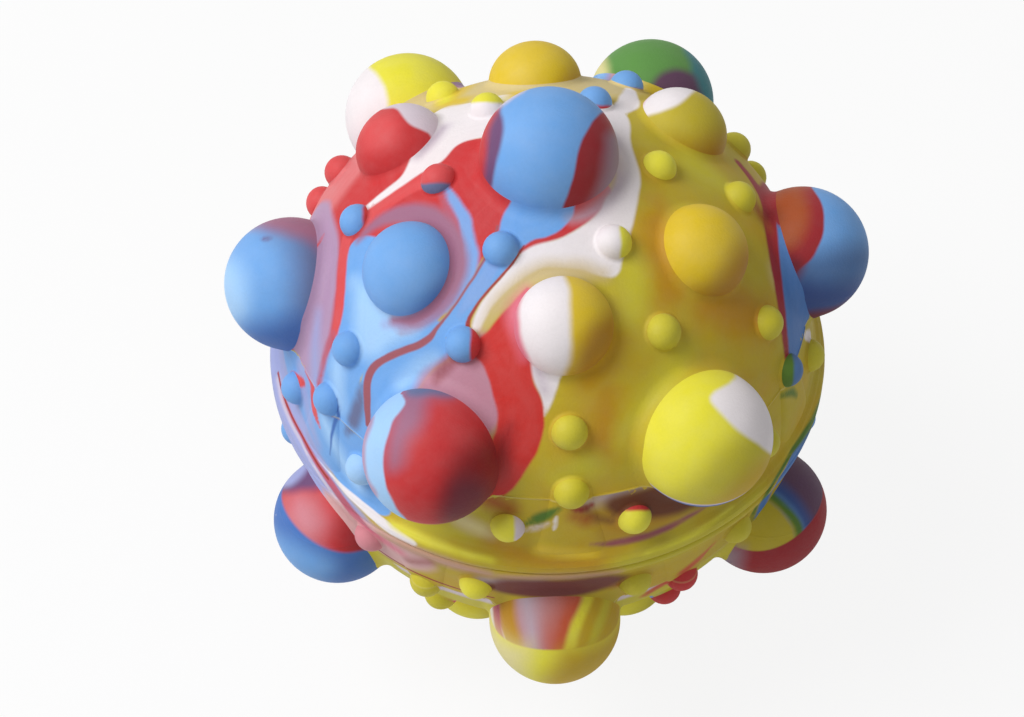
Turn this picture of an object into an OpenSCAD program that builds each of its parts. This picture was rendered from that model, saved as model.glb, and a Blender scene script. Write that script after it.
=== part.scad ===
// Sensory ball moulded in two halves, with bubbles that push inwards one at a time.
// The origin is the ball's centre and +Z runs along the pole, square to the seam.

/* [Body] */
// Radius of the round body between the bubbles
body_r = 31; // [29:0.5:36]
// Thickness of the moulded wall
wall = 2; // [1.4:0.1:2.6]
// Turn of the lower half against the upper half, in degrees
half_turn = 27; // [20:1:40]

/* [Seam] */
// How far the rim at the seam stands proud of the body
rim_proud = 1.4; // [1:0.1:2]
// Height of the rim on each half
rim_h = 1.5; // [1.2:0.1:2]
// Chamfer that makes the fine groove along the seam
seam_chamfer = 0.3; // [0.1:0.05:0.5]
// Width of the adhesive ring that bonds the halves
bond_w = 1; // [0.8:0.1:1.4]
// How deep the adhesive ring sits in each half
bond_depth = 0.5; // [0.3:0.1:0.8]
// Gap at each side of the adhesive ring
bond_gap = 0.03; // [0.01:0.01:0.06]

/* [Large bubbles] */
// Radius of a large bubble
large_r = 7.5; // [6.6:0.1:7.8]
// Height of its centre above the body
large_stand = 1.1; // [0.8:0.1:1.6]
// Wall of a large bubble
large_wall = 1.2; // [0.8:0.1:1.6]
// Length of the straight skirt under its dome
large_skirt = 2.4; // [1.8:0.1:2.6]
// Angle from the pole to the ring of large bubbles, in degrees
large_angle = 64.5; // [63:0.5:66]
// Width of the flat lip round a large bubble
large_lip = 0.5; // [0.3:0.1:0.8]
// Width of the slope round that lip
large_slope = 1.4; // [1:0.1:1.8]
// Depth of the crease at its foot below its widest line
large_crease = 1.6; // [1.3:0.1:1.8]

/* [Small bubbles] */
// Radius of a small bubble
small_r = 5; // [4.4:0.1:5.2]
// Height of its centre above the body
small_stand = 1; // [0.8:0.1:1.4]
// Wall of a small bubble
small_wall = 1.1; // [0.8:0.1:1.4]
// Length of the straight skirt under its dome
small_skirt = 1.5; // [1.4:0.1:1.8]
// Angle from the pole to the ring of small bubbles, in degrees
small_angle = 35.5; // [35:0.5:36]
// Width of the flat lip round a small bubble
small_lip = 0.4; // [0.3:0.1:0.6]
// Width of the slope round that lip
small_slope = 1.1; // [0.8:0.1:1.4]
// Depth of the crease at its foot below its widest line
small_crease = 1; // [0.7:0.1:1.1]

/* [Fit of the bubbles] */
// Gap between a bubble's skirt and its hole
skirt_gap = 0.08; // [0.04:0.01:0.1]

/* [Nubs] */
// Radius of a nub
nub_r = 1.9; // [1.5:0.1:2.1]
// Height of its centre above the body
nub_stand = 0.2; // [0.1:0.1:0.6]
// Angles from the pole to the two nub rings that line up with the large bubbles, in degrees
inner_nub_angles = [22.2, 41.8];
// Angles from the pole to the two nub rings that line up with the small bubbles, in degrees
outer_nub_angles = [56, 69.3];
// Angle from the pole to the paired nubs beside the seam, in degrees
seam_nub_angle = 78.5; // [77:0.5:80]
// Turn of each paired nub away from the small bubble's line, in degrees
seam_nub_turn = 13; // [12:0.5:14]

/* [Hidden] */
$fn = 64;
// Each ring holds six bubbles or nubs, and neighbouring rings are staggered by half a step.
ring_count = 6;
ring_step = 360 / ring_count;
stagger = ring_step / 2;
// Every cut runs past the surface that it opens.
overrun = wall;
// The slope of a collar dips this far into the body, so that the two surfaces cross cleanly.
slope_dip = 2 * skirt_gap;
inner_r = body_r - wall;
rim_r = body_r + rim_proud;
rim_slope_h = rim_proud / 2;
bond_r = (inner_r + rim_r) / 2;
large_centre = body_r + large_stand;
small_centre = body_r + small_stand;
large_lip_z = large_centre - large_crease;
small_lip_z = small_centre - small_crease;

// Turns its children from the upper pole down by angle, then round the pole by turn.
module aim(angle, turn) {
    rotate([angle, 0, turn]) children();
}

// Outline of a dome with a straight skirt below it, for turning round the bubble's own axis.
module dome_outline(r, skirt) {
    intersection() {
        circle(r);
        square(r);
    }
    translate([0, -skirt]) square([r, skirt]);
}

// Hollow bubble with its dome's centre at a height along its own axis.
module bubble(r, thick, skirt, centre) {
    translate([0, 0, centre]) rotate_extrude() difference() {
        dome_outline(r, skirt);
        dome_outline(r - thick, skirt + overrun);
    }
}

// Collar that a bubble stands in: a low land with a flat lip and a sloping side, bored for the bubble.
module collar(r, lip, slope, lip_z) {
    foot_r = r + lip + slope;
    foot_z = sqrt(pow(body_r, 2) - pow(foot_r, 2)) - slope_dip;
    difference() {
        union() {
            translate([0, 0, inner_r - overrun]) cylinder(r = foot_r, h = foot_z - inner_r + overrun);
            translate([0, 0, foot_z]) cylinder(r1 = foot_r, r2 = r + lip, h = lip_z - foot_z);
        }
        bubble_hole(r);
    }
}

// Hole that a bubble slides through.
module bubble_hole(r) {
    translate([0, 0, inner_r - large_r]) cylinder(r = r + skirt_gap, h = body_r);
}

module nub() {
    translate([0, 0, body_r + nub_stand]) sphere(nub_r);
}

// Runs its children once for each place in a ring.
module ring(angle, start) {
    for (i = [0 : ring_count - 1]) aim(angle, start + i * ring_step) children();
}

module nubs() {
    for (angle = inner_nub_angles) ring(angle, stagger) nub();
    for (angle = outer_nub_angles) ring(angle, 0) nub();
    for (side = [-1, 1]) ring(seam_nub_angle, side * seam_nub_turn) nub();
}

// Thickened rim along the seam, chamfered at its parting edge.
module rim() {
    rotate_extrude() polygon([
        [inner_r, 0],
        [rim_r - seam_chamfer, 0],
        [rim_r, seam_chamfer],
        [rim_r, rim_h - rim_slope_h],
        [body_r, rim_h + rim_slope_h],
        [inner_r, rim_h]
    ]);
}

// Plain round half, open at each bubble by half of its collar's width.
module body_dome() {
    difference() {
        intersection() {
            sphere(body_r);
            cylinder(r = rim_r, h = rim_r);
        }
        bubble_hole(large_r + (large_lip + large_slope) / 2);
        ring(large_angle, stagger) bubble_hole(large_r + (large_lip + large_slope) / 2);
        ring(small_angle, 0) bubble_hole(small_r + (small_lip + small_slope) / 2);
    }
}

// Upper half of the body. The lower half is the same moulding turned over.
module half_shell() {
    difference() {
        union() {
            body_dome();
            rim();
            collar(large_r, large_lip, large_slope, large_lip_z);
            ring(large_angle, stagger) collar(large_r, large_lip, large_slope, large_lip_z);
            ring(small_angle, 0) collar(small_r, small_lip, small_slope, small_lip_z);
            nubs();
        }
        sphere(inner_r);
        bond_groove();
    }
}

module bond_groove() {
    difference() {
        translate([0, 0, -overrun]) cylinder(r = bond_r + bond_w / 2 + bond_gap, h = bond_depth + overrun);
        translate([0, 0, -2 * overrun]) cylinder(r = bond_r - bond_w / 2 - bond_gap, h = bond_depth + 3 * overrun);
    }
}

module large_bubble(angle, turn) {
    aim(angle, turn) bubble(large_r, large_wall, large_skirt, large_centre);
}

module small_bubble(angle, turn) {
    aim(angle, turn) bubble(small_r, small_wall, small_skirt, small_centre);
}

module upper_shell() {
    color("khaki") half_shell();
}

module lower_shell() {
    color("darkkhaki") rotate([180, 0, half_turn]) half_shell();
}

// Ring of adhesive that fills the grooves in both halves.
module bond_ring() {
    color("ivory") translate([0, 0, -bond_depth]) difference() {
        cylinder(r = bond_r + bond_w / 2, h = 2 * bond_depth);
        translate([0, 0, -overrun]) cylinder(r = bond_r - bond_w / 2, h = 2 * (bond_depth + overrun));
    }
}

module upper_crown_bubble() {
    color("cornflowerblue") large_bubble(0, 0);
}

module lower_crown_bubble() {
    color("gold") large_bubble(180, 0);
}

// Large bubbles are numbered round the pole from the one just right of the front.
module upper_large_bubble(i) {
    shades = ["yellow", "cornflowerblue", "seagreen", "lemonchiffon", "royalblue", "firebrick"];
    color(shades[i - 1]) large_bubble(large_angle, stagger + (i - 1) * ring_step);
}

module lower_large_bubble(i) {
    shades = ["purple", "seagreen", "royalblue", "gold", "firebrick", "khaki"];
    color(shades[i - 1]) large_bubble(180 - large_angle, stagger + half_turn + (i - 1) * ring_step);
}

// Small bubbles are numbered round the pole from the front one.
module upper_small_bubble(i) {
    shades = ["wheat", "goldenrod", "olive", "goldenrod", "firebrick", "cornflowerblue"];
    color(shades[i - 1]) small_bubble(small_angle, (i - 1) * ring_step);
}

module lower_small_bubble(i) {
    shades = ["gold", "seagreen", "royalblue", "goldenrod", "firebrick", "yellow"];
    color(shades[i - 1]) small_bubble(180 - small_angle, half_turn + (i - 1) * ring_step);
}

upper_shell();
lower_shell();
bond_ring();
upper_crown_bubble();
lower_crown_bubble();
upper_large_bubble(1);  // upper_large_bubble_1
upper_large_bubble(2);  // upper_large_bubble_2
upper_large_bubble(3);  // upper_large_bubble_3
upper_large_bubble(4);  // upper_large_bubble_4
upper_large_bubble(5);  // upper_large_bubble_5
upper_large_bubble(6);  // upper_large_bubble_6
lower_large_bubble(1);  // lower_large_bubble_1
lower_large_bubble(2);  // lower_large_bubble_2
lower_large_bubble(3);  // lower_large_bubble_3
lower_large_bubble(4);  // lower_large_bubble_4
lower_large_bubble(5);  // lower_large_bubble_5
lower_large_bubble(6);  // lower_large_bubble_6
upper_small_bubble(1);  // upper_small_bubble_1
upper_small_bubble(2);  // upper_small_bubble_2
upper_small_bubble(3);  // upper_small_bubble_3
upper_small_bubble(4);  // upper_small_bubble_4
upper_small_bubble(5);  // upper_small_bubble_5
upper_small_bubble(6);  // upper_small_bubble_6
lower_small_bubble(1);  // lower_small_bubble_1
lower_small_bubble(2);  // lower_small_bubble_2
lower_small_bubble(3);  // lower_small_bubble_3
lower_small_bubble(4);  // lower_small_bubble_4
lower_small_bubble(5);  // lower_small_bubble_5
lower_small_bubble(6);  // lower_small_bubble_6
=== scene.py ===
"""Looks of the sensory ball: marbled silicone halves with nubs, and 26 bubbles that push in."""

import math

import bpy
import numpy as np
from mathutils import Matrix, Vector, noise


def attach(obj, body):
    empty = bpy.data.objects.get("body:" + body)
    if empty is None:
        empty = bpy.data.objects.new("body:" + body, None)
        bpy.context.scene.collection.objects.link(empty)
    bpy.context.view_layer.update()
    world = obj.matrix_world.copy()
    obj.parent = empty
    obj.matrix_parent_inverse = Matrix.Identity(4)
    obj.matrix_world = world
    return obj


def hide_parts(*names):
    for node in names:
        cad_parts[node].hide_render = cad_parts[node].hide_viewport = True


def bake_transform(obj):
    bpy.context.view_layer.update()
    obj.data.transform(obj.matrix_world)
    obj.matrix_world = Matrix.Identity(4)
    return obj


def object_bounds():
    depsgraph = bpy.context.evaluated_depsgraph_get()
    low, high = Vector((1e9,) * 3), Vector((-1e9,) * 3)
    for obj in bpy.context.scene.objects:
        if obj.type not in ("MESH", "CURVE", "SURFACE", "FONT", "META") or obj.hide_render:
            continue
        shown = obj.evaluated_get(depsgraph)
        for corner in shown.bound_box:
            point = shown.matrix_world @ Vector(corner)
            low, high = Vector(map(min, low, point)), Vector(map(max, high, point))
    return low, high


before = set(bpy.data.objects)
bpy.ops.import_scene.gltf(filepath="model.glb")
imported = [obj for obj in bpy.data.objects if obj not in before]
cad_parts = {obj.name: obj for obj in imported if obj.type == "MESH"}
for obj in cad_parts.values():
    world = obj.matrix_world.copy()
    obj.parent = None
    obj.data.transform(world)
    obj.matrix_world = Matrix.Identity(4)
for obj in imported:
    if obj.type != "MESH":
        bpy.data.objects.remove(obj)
cad_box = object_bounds()

MM = 0.001

# Blender seeds its vector noise by the clock, so a seed is set.
WARP_SEED = 7
noise.seed_set(WARP_SEED)

# Sizes of the ball, as in the part's source. Here and further down, lengths are in millimetres and
# angles in degrees. An angle runs down from the upper pole, and a turn runs round it from the front.
BODY_R = 31
INNER_R = 29
BOND_IN = 30.17
BOND_OUT = 31.23
BOND_DEEP = 0.5
LARGE_R = 7.5
LARGE_CENTRE = 32.1
LARGE_CREASE = 30.5
LARGE_WALL = 1.2
LARGE_ANGLE = 64.5
SMALL_CREASE = 31.0
SMALL_WALL = 1.1
SMALL_ANGLE = 35.5
NUB_RINGS_BY_LARGE = (22.2, 41.8)
NUB_RINGS_BY_SMALL = (56, 69.3)
SEAM_NUB_ANGLE = 78.5
SEAM_NUB_TURN = 13
PARTING_Z = 10.2
HALF_TURN = 27
STEP = 60

# Softer forms of the visible skin. The cap is fuller down to the shoulder, and the skin comes back to
# the body's radius at the waist. The small domes are broader and flatter than the plain ones.
CAP_R = 31.65
PARTING_R = 31.2
SHOULDER = (60, 71)
WAIST = (71.5, 75.5)
SMALL_R = 5.3
SMALL_CENTRE = 31.1
SMALL_FLATTENING = 0.89
NUB_R = 2.0
NUB_CENTRE = 31.5

# Fillets at the feet of bubbles and nubs. Each leaves a neck, curves out and runs on over a spread.
LARGE_NECK = 7.5
LARGE_FILLET = 1.6
LARGE_SPREAD = 5
SMALL_NECK = 5.1
SMALL_FILLET = 1.3
SMALL_SPREAD = 4
NUB_FILLET = 0.45
NUB_SPREAD = 1.5
INSET = 0.1
TUCKED = 0.3
BEDDED = 1
COLLAR_LIFT = 0.012
COLLAR_DROP = 0.02
FOOT_BELOW = 1.1
FOOT_FIXED = 0.1

# Section of a half: its holes, its mould line and its rim, as (radius, height) down to the seam.
HOLE_MARGIN = 1
CUTTER_LENGTH = 12
SECTION_END = 83
LINE_PROUD = 0.1
LINE_CLEAR = 0.6
LINE_TURNS = (-0.55, -0.25, 0, 0.25, 0.55)
LINE_HALF_WIDTH = 0.03
SEAM_GAP = 0.01
RIM = [(30.86, 3.2), (30.97, 2.9), (31.12, 2.62), (31.16, 2.5), (31.19, 2.42), (31.3, 2.25), (31.56, 1.98),
       (31.8, 1.78), (31.84, 1.7), (31.87, 1.62), (31.98, 1.5), (32.2, 1.28), (32.3, 1.12), (32.28, 1.02),
       (32.31, 0.96), (32.34, 0.84), (32.4, 0.6), (32.38, 0.35), (32.28, 0.14), (32.1, 0.02)]

# Tapered pad between the mould line and the seam.
PAD_TOP = 68.5
PAD_SPAN = 18.5
PAD_HALF_WIDTH = 2.3
PAD_FLARE = 2.2
PAD_FLARE_POWER = 1.3
PAD_EDGE_POWER = 6
PAD_PROUD = 0.35
PAD_SUNK = 0.12

# Fineness of the meshes.
HALF_SEGMENTS = 360
LARGE_SEGMENTS = 96
SMALL_SEGMENTS = 72
NUB_SEGMENTS = 24
NUB_RINGS = 16
CUTTER_SEGMENTS = 48
SECTION_STEPS = 84
INSIDE_STEPS = 18
FILLET_STEPS = 7
COLLAR_STEPS = 5
FOOT_STEPS = 3
WELD = 0.000002
HALF_SMOOTH = 38
SKIN_SMOOTH = 50

# Painting. Edges waver by a warp, and a field is written only as far as it matters.
BEYOND = 20
NEAR = 4
OUTLINE_STEPS = 6
STROKE_STEP = 0.45
WARP_SIZE = 4.2
FINE_WARP = 0.35
BODY_WARP = 0.22
BUBBLE_WARP = 0.2
FACING_LEAST = 0.25
PARTING_BOW = 0.038

# Where the side begins that the photograph doesn't show, with its wavy border, and how the strokes
# of the seen side are mirrored on to it.
HORIZON = 1
BORDER_WAVES = 7
CAP_WAVE = 1.5
BELT_WAVE = 6
BELT_HIDDEN = (102, 238)
FOOT_HIDDEN = 105
FOOT_FRONT = 80
FOOT_FADE = 25
FOOT_SEEN_MORE = 18
MIRROR_TURN = {"cap": 120, "belt": 180}

# Studio. Each lamp has a direction in right, up and towards the camera, then its distance and its
# size in metres, and its power.
WORLD_LIGHT = 0.33
FLOOR_SIZE = 6
FLOOR_TONE = 0.85
FLOOR_GLOW = 0.88
LAMPS = [
    ("key", (-0.6, 0.45, 0.66), 0.7, 0.45, 3.9),
    ("fill", (0.5, 0.1, 0.9), 0.8, 0.6, 0.15),
]

# Pigments, as they look on the lit silicone. Some of them also serve as painted shade and painted
# highlights, as noted where they are used.
PIGMENTS = {
    "blue": "#74A8E4",
    "light_blue": "#A4CCF4",
    "stream": "#7FA6E0",
    "denim": "#5580BE",
    "deep_blue": "#4A74BA",
    "navy": "#3E5690",
    "steel": "#5578AA",
    "slate": "#6A7296",
    "lavender_blue": "#9FA6D4",
    "red": "#C83C3E",
    "bright_red": "#D85254",
    "salmon": "#DC7678",
    "scarlet": "#CE3E3A",
    "raspberry": "#B85E72",
    "brick": "#A03830",
    "crimson": "#9A2A30",
    "dark_red": "#8E2226",
    "maroon": "#722834",
    "brown_red": "#9E5862",
    "rose": "#DE7E92",
    "pink": "#D48A94",
    "dusty_pink": "#C08A9C",
    "pale_rose": "#D8ACAC",
    "warm_pink": "#C2888A",
    "mauve": "#A08A9E",
    "plum": "#A06C86",
    "dark_plum": "#6E4A72",
    "grey_mauve": "#B292B2",
    "purple": "#5E4058",
    "maroon_rim_shadow": "#78423E",
    "white": "#EFE8EA",
    "lavender": "#DCCED8",
    "ash": "#BEAEBE",
    "pale_tan": "#CDB888",
    "tan": "#D8C48A",
    "pinkish_tan": "#C69C84",
    "yellow": "#E8E048",
    "dull_yellow": "#CDC23C",
    "golden": "#DFC038",
    "amber": "#B68428",
    "ochre": "#BE8C26",
    "olive": "#C7A62C",
    "moss": "#C0AE34",
    "cream": "#E2D896",
    "rust": "#A4502A",
    "vermilion": "#C85A38",
    "brown": "#6E3C24",
    "green": "#5E9148",
    "leaf": "#56782C",
    "teal": "#3E7F86",
}


def linear(name):
    """Colour of a pigment as the shader's linear red, green, blue and alpha."""
    text = PIGMENTS[name].lstrip("#")
    parts = [int(text[i:i + 2], 16) / 255 for i in (0, 2, 4)]
    curve = [c / 12.92 if c <= 0.04045 else ((c + 0.055) / 1.055) ** 2.4 for c in parts]
    return (*curve, 1)


def direction(angle, turn):
    """Unit vector at an angle down from the upper pole and a turn round it from the front."""
    a = math.radians(angle)
    t = math.radians(turn)
    return Vector((math.sin(a) * math.sin(t), -math.sin(a) * math.cos(t), math.cos(a)))


def aim(angle, turn):
    """Turn that carries the upper pole to that place."""
    return Matrix.Rotation(math.radians(turn), 4, "Z") @ Matrix.Rotation(math.radians(angle), 4, "X")


# Camera, fitted to the photograph.
CAMERA_TURN = -4.09
CAMERA_RISE = 51.2
CAMERA_ROLL = -0.41
CAMERA_AWAY = 294.3
SHIFT_RIGHT = 4.12
SHIFT_UP = 1.56
FOCAL_PIXELS = 2509
IMAGE_WIDTH = 1024
SENSOR = 36
CLIP_START = 0.01


def camera_axes():
    """Directions to the right, up and back towards the camera."""
    turn = math.radians(CAMERA_TURN)
    rise = math.radians(CAMERA_RISE)
    roll = math.radians(CAMERA_ROLL)
    back = Vector((math.sin(turn) * math.cos(rise), -math.cos(turn) * math.cos(rise), math.sin(rise)))
    level = Vector((math.cos(turn), math.sin(turn), 0))
    upright = back.cross(level)
    right = math.cos(roll) * level + math.sin(roll) * upright
    up = -math.sin(roll) * level + math.cos(roll) * upright
    return right, up, back


RIGHT, UP, BACK = camera_axes()
CAMERA_PLACE = np.array(CAMERA_AWAY * BACK - SHIFT_RIGHT * RIGHT - SHIFT_UP * UP)


def put_camera():
    """Puts the camera where the photograph was taken from."""
    place = Vector(CAMERA_PLACE) * MM
    data = bpy.data.cameras.new("camera")
    data.sensor_width = SENSOR
    data.lens = FOCAL_PIXELS * SENSOR / IMAGE_WIDTH
    data.clip_start = CLIP_START
    camera = bpy.data.objects.new("camera", data)
    turned = Matrix((RIGHT, UP, BACK)).transposed().to_4x4()
    camera.matrix_world = Matrix.Translation(place) @ turned
    bpy.context.scene.collection.objects.link(camera)
    bpy.context.scene.camera = camera


# Modelling

def deselect():
    bpy.ops.object.select_all(action="DESELECT")


def select(*pieces):
    deselect()
    for piece in pieces:
        piece.select_set(True)
    bpy.context.view_layer.objects.active = pieces[0]


def edit_all(piece):
    select(piece)
    bpy.ops.object.mode_set(mode="EDIT")
    bpy.ops.mesh.select_all(action="SELECT")


def tidy_mesh():
    """Closes seams and poles and turns every face outwards, in edit mode."""
    bpy.ops.mesh.select_all(action="SELECT")
    bpy.ops.mesh.remove_doubles(threshold=WELD)
    bpy.ops.mesh.normals_make_consistent(inside=False)


def turned_ring(name, outline, steps):
    """Solid of revolution round Z from a closed outline of (radius, height) in millimetres."""
    deselect()
    bpy.ops.mesh.primitive_circle_add(vertices=len(outline), fill_type="NOTHING")
    piece = bpy.context.active_object
    piece.name = name
    for vertex, (radius, height) in zip(piece.data.vertices, outline):
        vertex.co = (radius * MM, 0, height * MM)
    edit_all(piece)
    bpy.ops.mesh.spin(steps=steps, angle=math.tau, center=(0, 0, 0), axis=(0, 0, 1), use_auto_merge=True)
    tidy_mesh()
    bpy.ops.object.mode_set(mode="OBJECT")
    return piece


def copy_of(piece, place):
    """Copy with its own mesh, moved by a matrix."""
    other = piece.copy()
    other.data = piece.data.copy()
    other.data.transform(place)
    bpy.context.scene.collection.objects.link(other)
    return other


def join(pieces):
    select(*pieces)
    bpy.ops.object.join()
    return bpy.context.active_object


def remove(piece):
    bpy.data.objects.remove(piece, do_unlink=True)


def dome(name, r, centre, crease, wall, segments, height=1.0):
    """Skin of a bubble round Z: a round dome with a short straight foot below it."""
    deselect()
    bpy.ops.mesh.primitive_uv_sphere_add(segments=segments, ring_count=segments // 2, radius=r * MM,
                                         location=(0, 0, centre * MM), scale=(1, 1, height))
    piece = bpy.context.active_object
    piece.name = name
    bpy.ops.object.transform_apply(location=True, rotation=True, scale=True)
    edit_all(piece)
    bpy.ops.mesh.bisect(plane_co=(0, 0, centre * MM), plane_no=(0, 0, 1), clear_inner=True, use_fill=False)
    foot = centre - crease + FOOT_BELOW
    bpy.ops.mesh.select_all(action="DESELECT")
    bpy.ops.mesh.select_non_manifold()
    for _ in range(FOOT_STEPS):
        bpy.ops.mesh.extrude_region_move(
            TRANSFORM_OT_translate={"value": (0, 0, -foot / FOOT_STEPS * MM)})
    tidy_mesh()
    bpy.ops.object.mode_set(mode="OBJECT")
    skin = piece.modifiers.new("skin", "SOLIDIFY")
    skin.thickness = wall * MM
    skin.offset = -1
    bpy.ops.object.modifier_apply(modifier=skin.name)
    return piece


def collar_top(r, fillet):
    """Height at which a fillet leaves the neck."""
    return math.sqrt((CAP_R + fillet) ** 2 - (r + fillet) ** 2)


def ramp(value, low, high):
    return min(max((value - low) / (high - low), 0), 1)


def body_radius(angle):
    """Radius of the body's skin at an angle down from a pole: fuller above the parting line."""
    if angle < WAIST[0]:
        s = ramp(angle, *SHOULDER)
        return CAP_R + (PARTING_R - CAP_R) * s * s * (3 - 2 * s)
    return PARTING_R + (BODY_R - PARTING_R) * ramp(angle, *WAIST)


def settle(piece):
    """Lowers what is modelled on the cap's skin on to the lower skin near the seam."""
    for vertex in piece.data.vertices:
        angle = math.degrees(math.acos(vertex.co.z / vertex.co.length))
        vertex.co *= body_radius(min(angle, 180 - angle)) / CAP_R


def polar(radius, angle):
    """Point of a section at a radius and at an angle in radians down from the pole."""
    return radius * math.sin(angle), radius * math.cos(angle)


def collar(name, r, centre, fillet, spread, steps):
    """Soft fillet from the foot of a bubble or nub out to the cap's skin, with a bedded underside."""
    if centre is None:
        middle = (r + fillet, collar_top(r, fillet))
        first = math.pi
        outline = [(r - INSET, middle[1] + TUCKED)]
    else:
        height = (centre ** 2 + (CAP_R + fillet) ** 2 - (r + fillet) ** 2) / (2 * centre)
        middle = (math.sqrt((CAP_R + fillet) ** 2 - height ** 2), height)
        first = math.atan2(centre - height, -middle[0]) % math.tau
        outline = []
    last = math.atan2(-middle[1], -middle[0]) % math.tau
    for i in range(FILLET_STEPS + 1):
        a = first + (last - first) * i / FILLET_STEPS
        outline.append((middle[0] + fillet * math.cos(a), middle[1] + fillet * math.sin(a)))
    start = math.atan2(*middle)
    for i in range(1, COLLAR_STEPS + 1):
        a = start + math.radians(spread) * i / COLLAR_STEPS
        outline.append(polar(CAP_R + COLLAR_LIFT - COLLAR_DROP * i / COLLAR_STEPS, a))
    outline.append(polar(CAP_R - BEDDED, start + math.radians(spread)))
    outline.append((r - INSET, middle[1] - 2 * BEDDED))
    return turned_ring(name, outline, steps)


def shell_outline():
    """Section of one half, outside from the crown's hole to the seam and back inside."""
    first = math.degrees(math.asin((LARGE_R + HOLE_MARGIN) / BODY_R))
    parting = math.degrees(math.acos(PARTING_Z / BODY_R))
    angles = [first + (SECTION_END - first) * i / SECTION_STEPS for i in range(SECTION_STEPS + 1)]
    angles = [a for a in angles if abs(a - parting) > LINE_CLEAR]
    angles += [parting + turn for turn in LINE_TURNS]
    outline = [polar(body_radius(angle) + (LINE_PROUD if angle == parting else 0), math.radians(angle))
               for angle in sorted(angles)]
    outline += RIM
    outline += [(BOND_OUT + TUCKED, SEAM_GAP), (BOND_OUT, SEAM_GAP), (BOND_OUT, BOND_DEEP),
                (BOND_IN, BOND_DEEP), (BOND_IN, SEAM_GAP), (INNER_R, SEAM_GAP)]
    inside = math.degrees(math.asin((LARGE_R + HOLE_MARGIN) / INNER_R))
    outline += [polar(INNER_R, math.radians(90 + (inside - 90) * i / INSIDE_STEPS))
                for i in range(1, INSIDE_STEPS + 1)]
    return outline


def tapered_pad():
    """Low pad that runs from the nub on the parting line down to the seam, at the front."""
    deselect()
    bpy.ops.mesh.primitive_grid_add(x_subdivisions=24, y_subdivisions=26, size=2)
    piece = bpy.context.active_object
    for vertex in piece.data.vertices:
        across = vertex.co.x
        along = (1 - vertex.co.y) / 2
        angle = PAD_TOP + PAD_SPAN * along
        half_width = PAD_HALF_WIDTH + PAD_FLARE * along ** PAD_FLARE_POWER
        turn = math.degrees(across * half_width / (BODY_R * math.sin(math.radians(angle))))
        edge = abs(across) ** PAD_EDGE_POWER
        proud = PAD_PROUD * (1 - edge) - PAD_SUNK * edge
        vertex.co = direction(angle, turn) * (body_radius(angle) + proud) * MM
    edit_all(piece)
    bpy.ops.mesh.extrude_region_move(TRANSFORM_OT_translate={"value": (0, MM, 0)})
    tidy_mesh()
    bpy.ops.object.mode_set(mode="OBJECT")
    return piece


def nub():
    deselect()
    bpy.ops.mesh.primitive_uv_sphere_add(segments=NUB_SEGMENTS, ring_count=NUB_RINGS, radius=NUB_R * MM,
                                         location=(0, 0, NUB_CENTRE * MM))
    bpy.ops.object.transform_apply(location=True, rotation=True, scale=True)
    return bpy.context.active_object


def turned_over(place):
    """Place on the lower half that matches a place on the upper half."""
    return Matrix.Rotation(math.radians(HALF_TURN), 4, "Z") @ Matrix.Rotation(math.pi, 4, "X") @ place


def bubble_places():
    """Name, place and size of each bubble."""
    places = [("upper_crown_bubble", Matrix.Identity(4), "large"),
              ("lower_crown_bubble", turned_over(Matrix.Identity(4)), "large")]
    for i in range(6):
        large = aim(LARGE_ANGLE, STEP / 2 + STEP * i)
        small = aim(SMALL_ANGLE, STEP * i)
        places.append((f"upper_large_bubble_{i + 1}", large, "large"))
        places.append((f"upper_small_bubble_{i + 1}", small, "small"))
        large = turned_over(aim(LARGE_ANGLE, STEP * 2.5 - STEP * i))
        small = turned_over(aim(SMALL_ANGLE, STEP * 3 - STEP * i))
        places.append((f"lower_large_bubble_{i + 1}", large, "large"))
        places.append((f"lower_small_bubble_{i + 1}", small, "small"))
    return places


def nub_places():
    """Ring, number, angle and turn of each nub of a half, ring by ring."""
    places = []
    for ring, angle in enumerate(NUB_RINGS_BY_LARGE):
        places += [(ring, i, angle, STEP / 2 + STEP * i) for i in range(6)]
    for ring, angle in enumerate(NUB_RINGS_BY_SMALL):
        places += [(ring + 2, i, angle, STEP * i) for i in range(6)]
    for i in range(6):
        places.append((4, 2 * i, SEAM_NUB_ANGLE, STEP * i - SEAM_NUB_TURN))
        places.append((4, 2 * i + 1, SEAM_NUB_ANGLE, STEP * i + SEAM_NUB_TURN))
    return places


def cut_holes(piece):
    """Cuts the twelve holes of the ring bubbles. The crown's hole is in the section already."""
    cutters = []
    for angle, start, r in ((LARGE_ANGLE, STEP / 2, LARGE_R), (SMALL_ANGLE, 0, SMALL_R)):
        for i in range(6):
            deselect()
            bpy.ops.mesh.primitive_cylinder_add(vertices=CUTTER_SEGMENTS, radius=(r + HOLE_MARGIN) * MM,
                                                depth=CUTTER_LENGTH * MM, location=(0, 0, BODY_R * MM))
            cutter = bpy.context.active_object
            bpy.ops.object.transform_apply(location=True, rotation=True, scale=True)
            cutter.data.transform(aim(angle, start + STEP * i))
            cutters.append(cutter)
    cutter = join(cutters)
    select(piece)
    cut = piece.modifiers.new("holes", "BOOLEAN")
    cut.operation = "DIFFERENCE"
    cut.solver = "MANIFOLD"
    cut.object = cutter
    bpy.ops.object.modifier_apply(modifier=cut.name)
    remove(cutter)


# Shader maths

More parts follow.
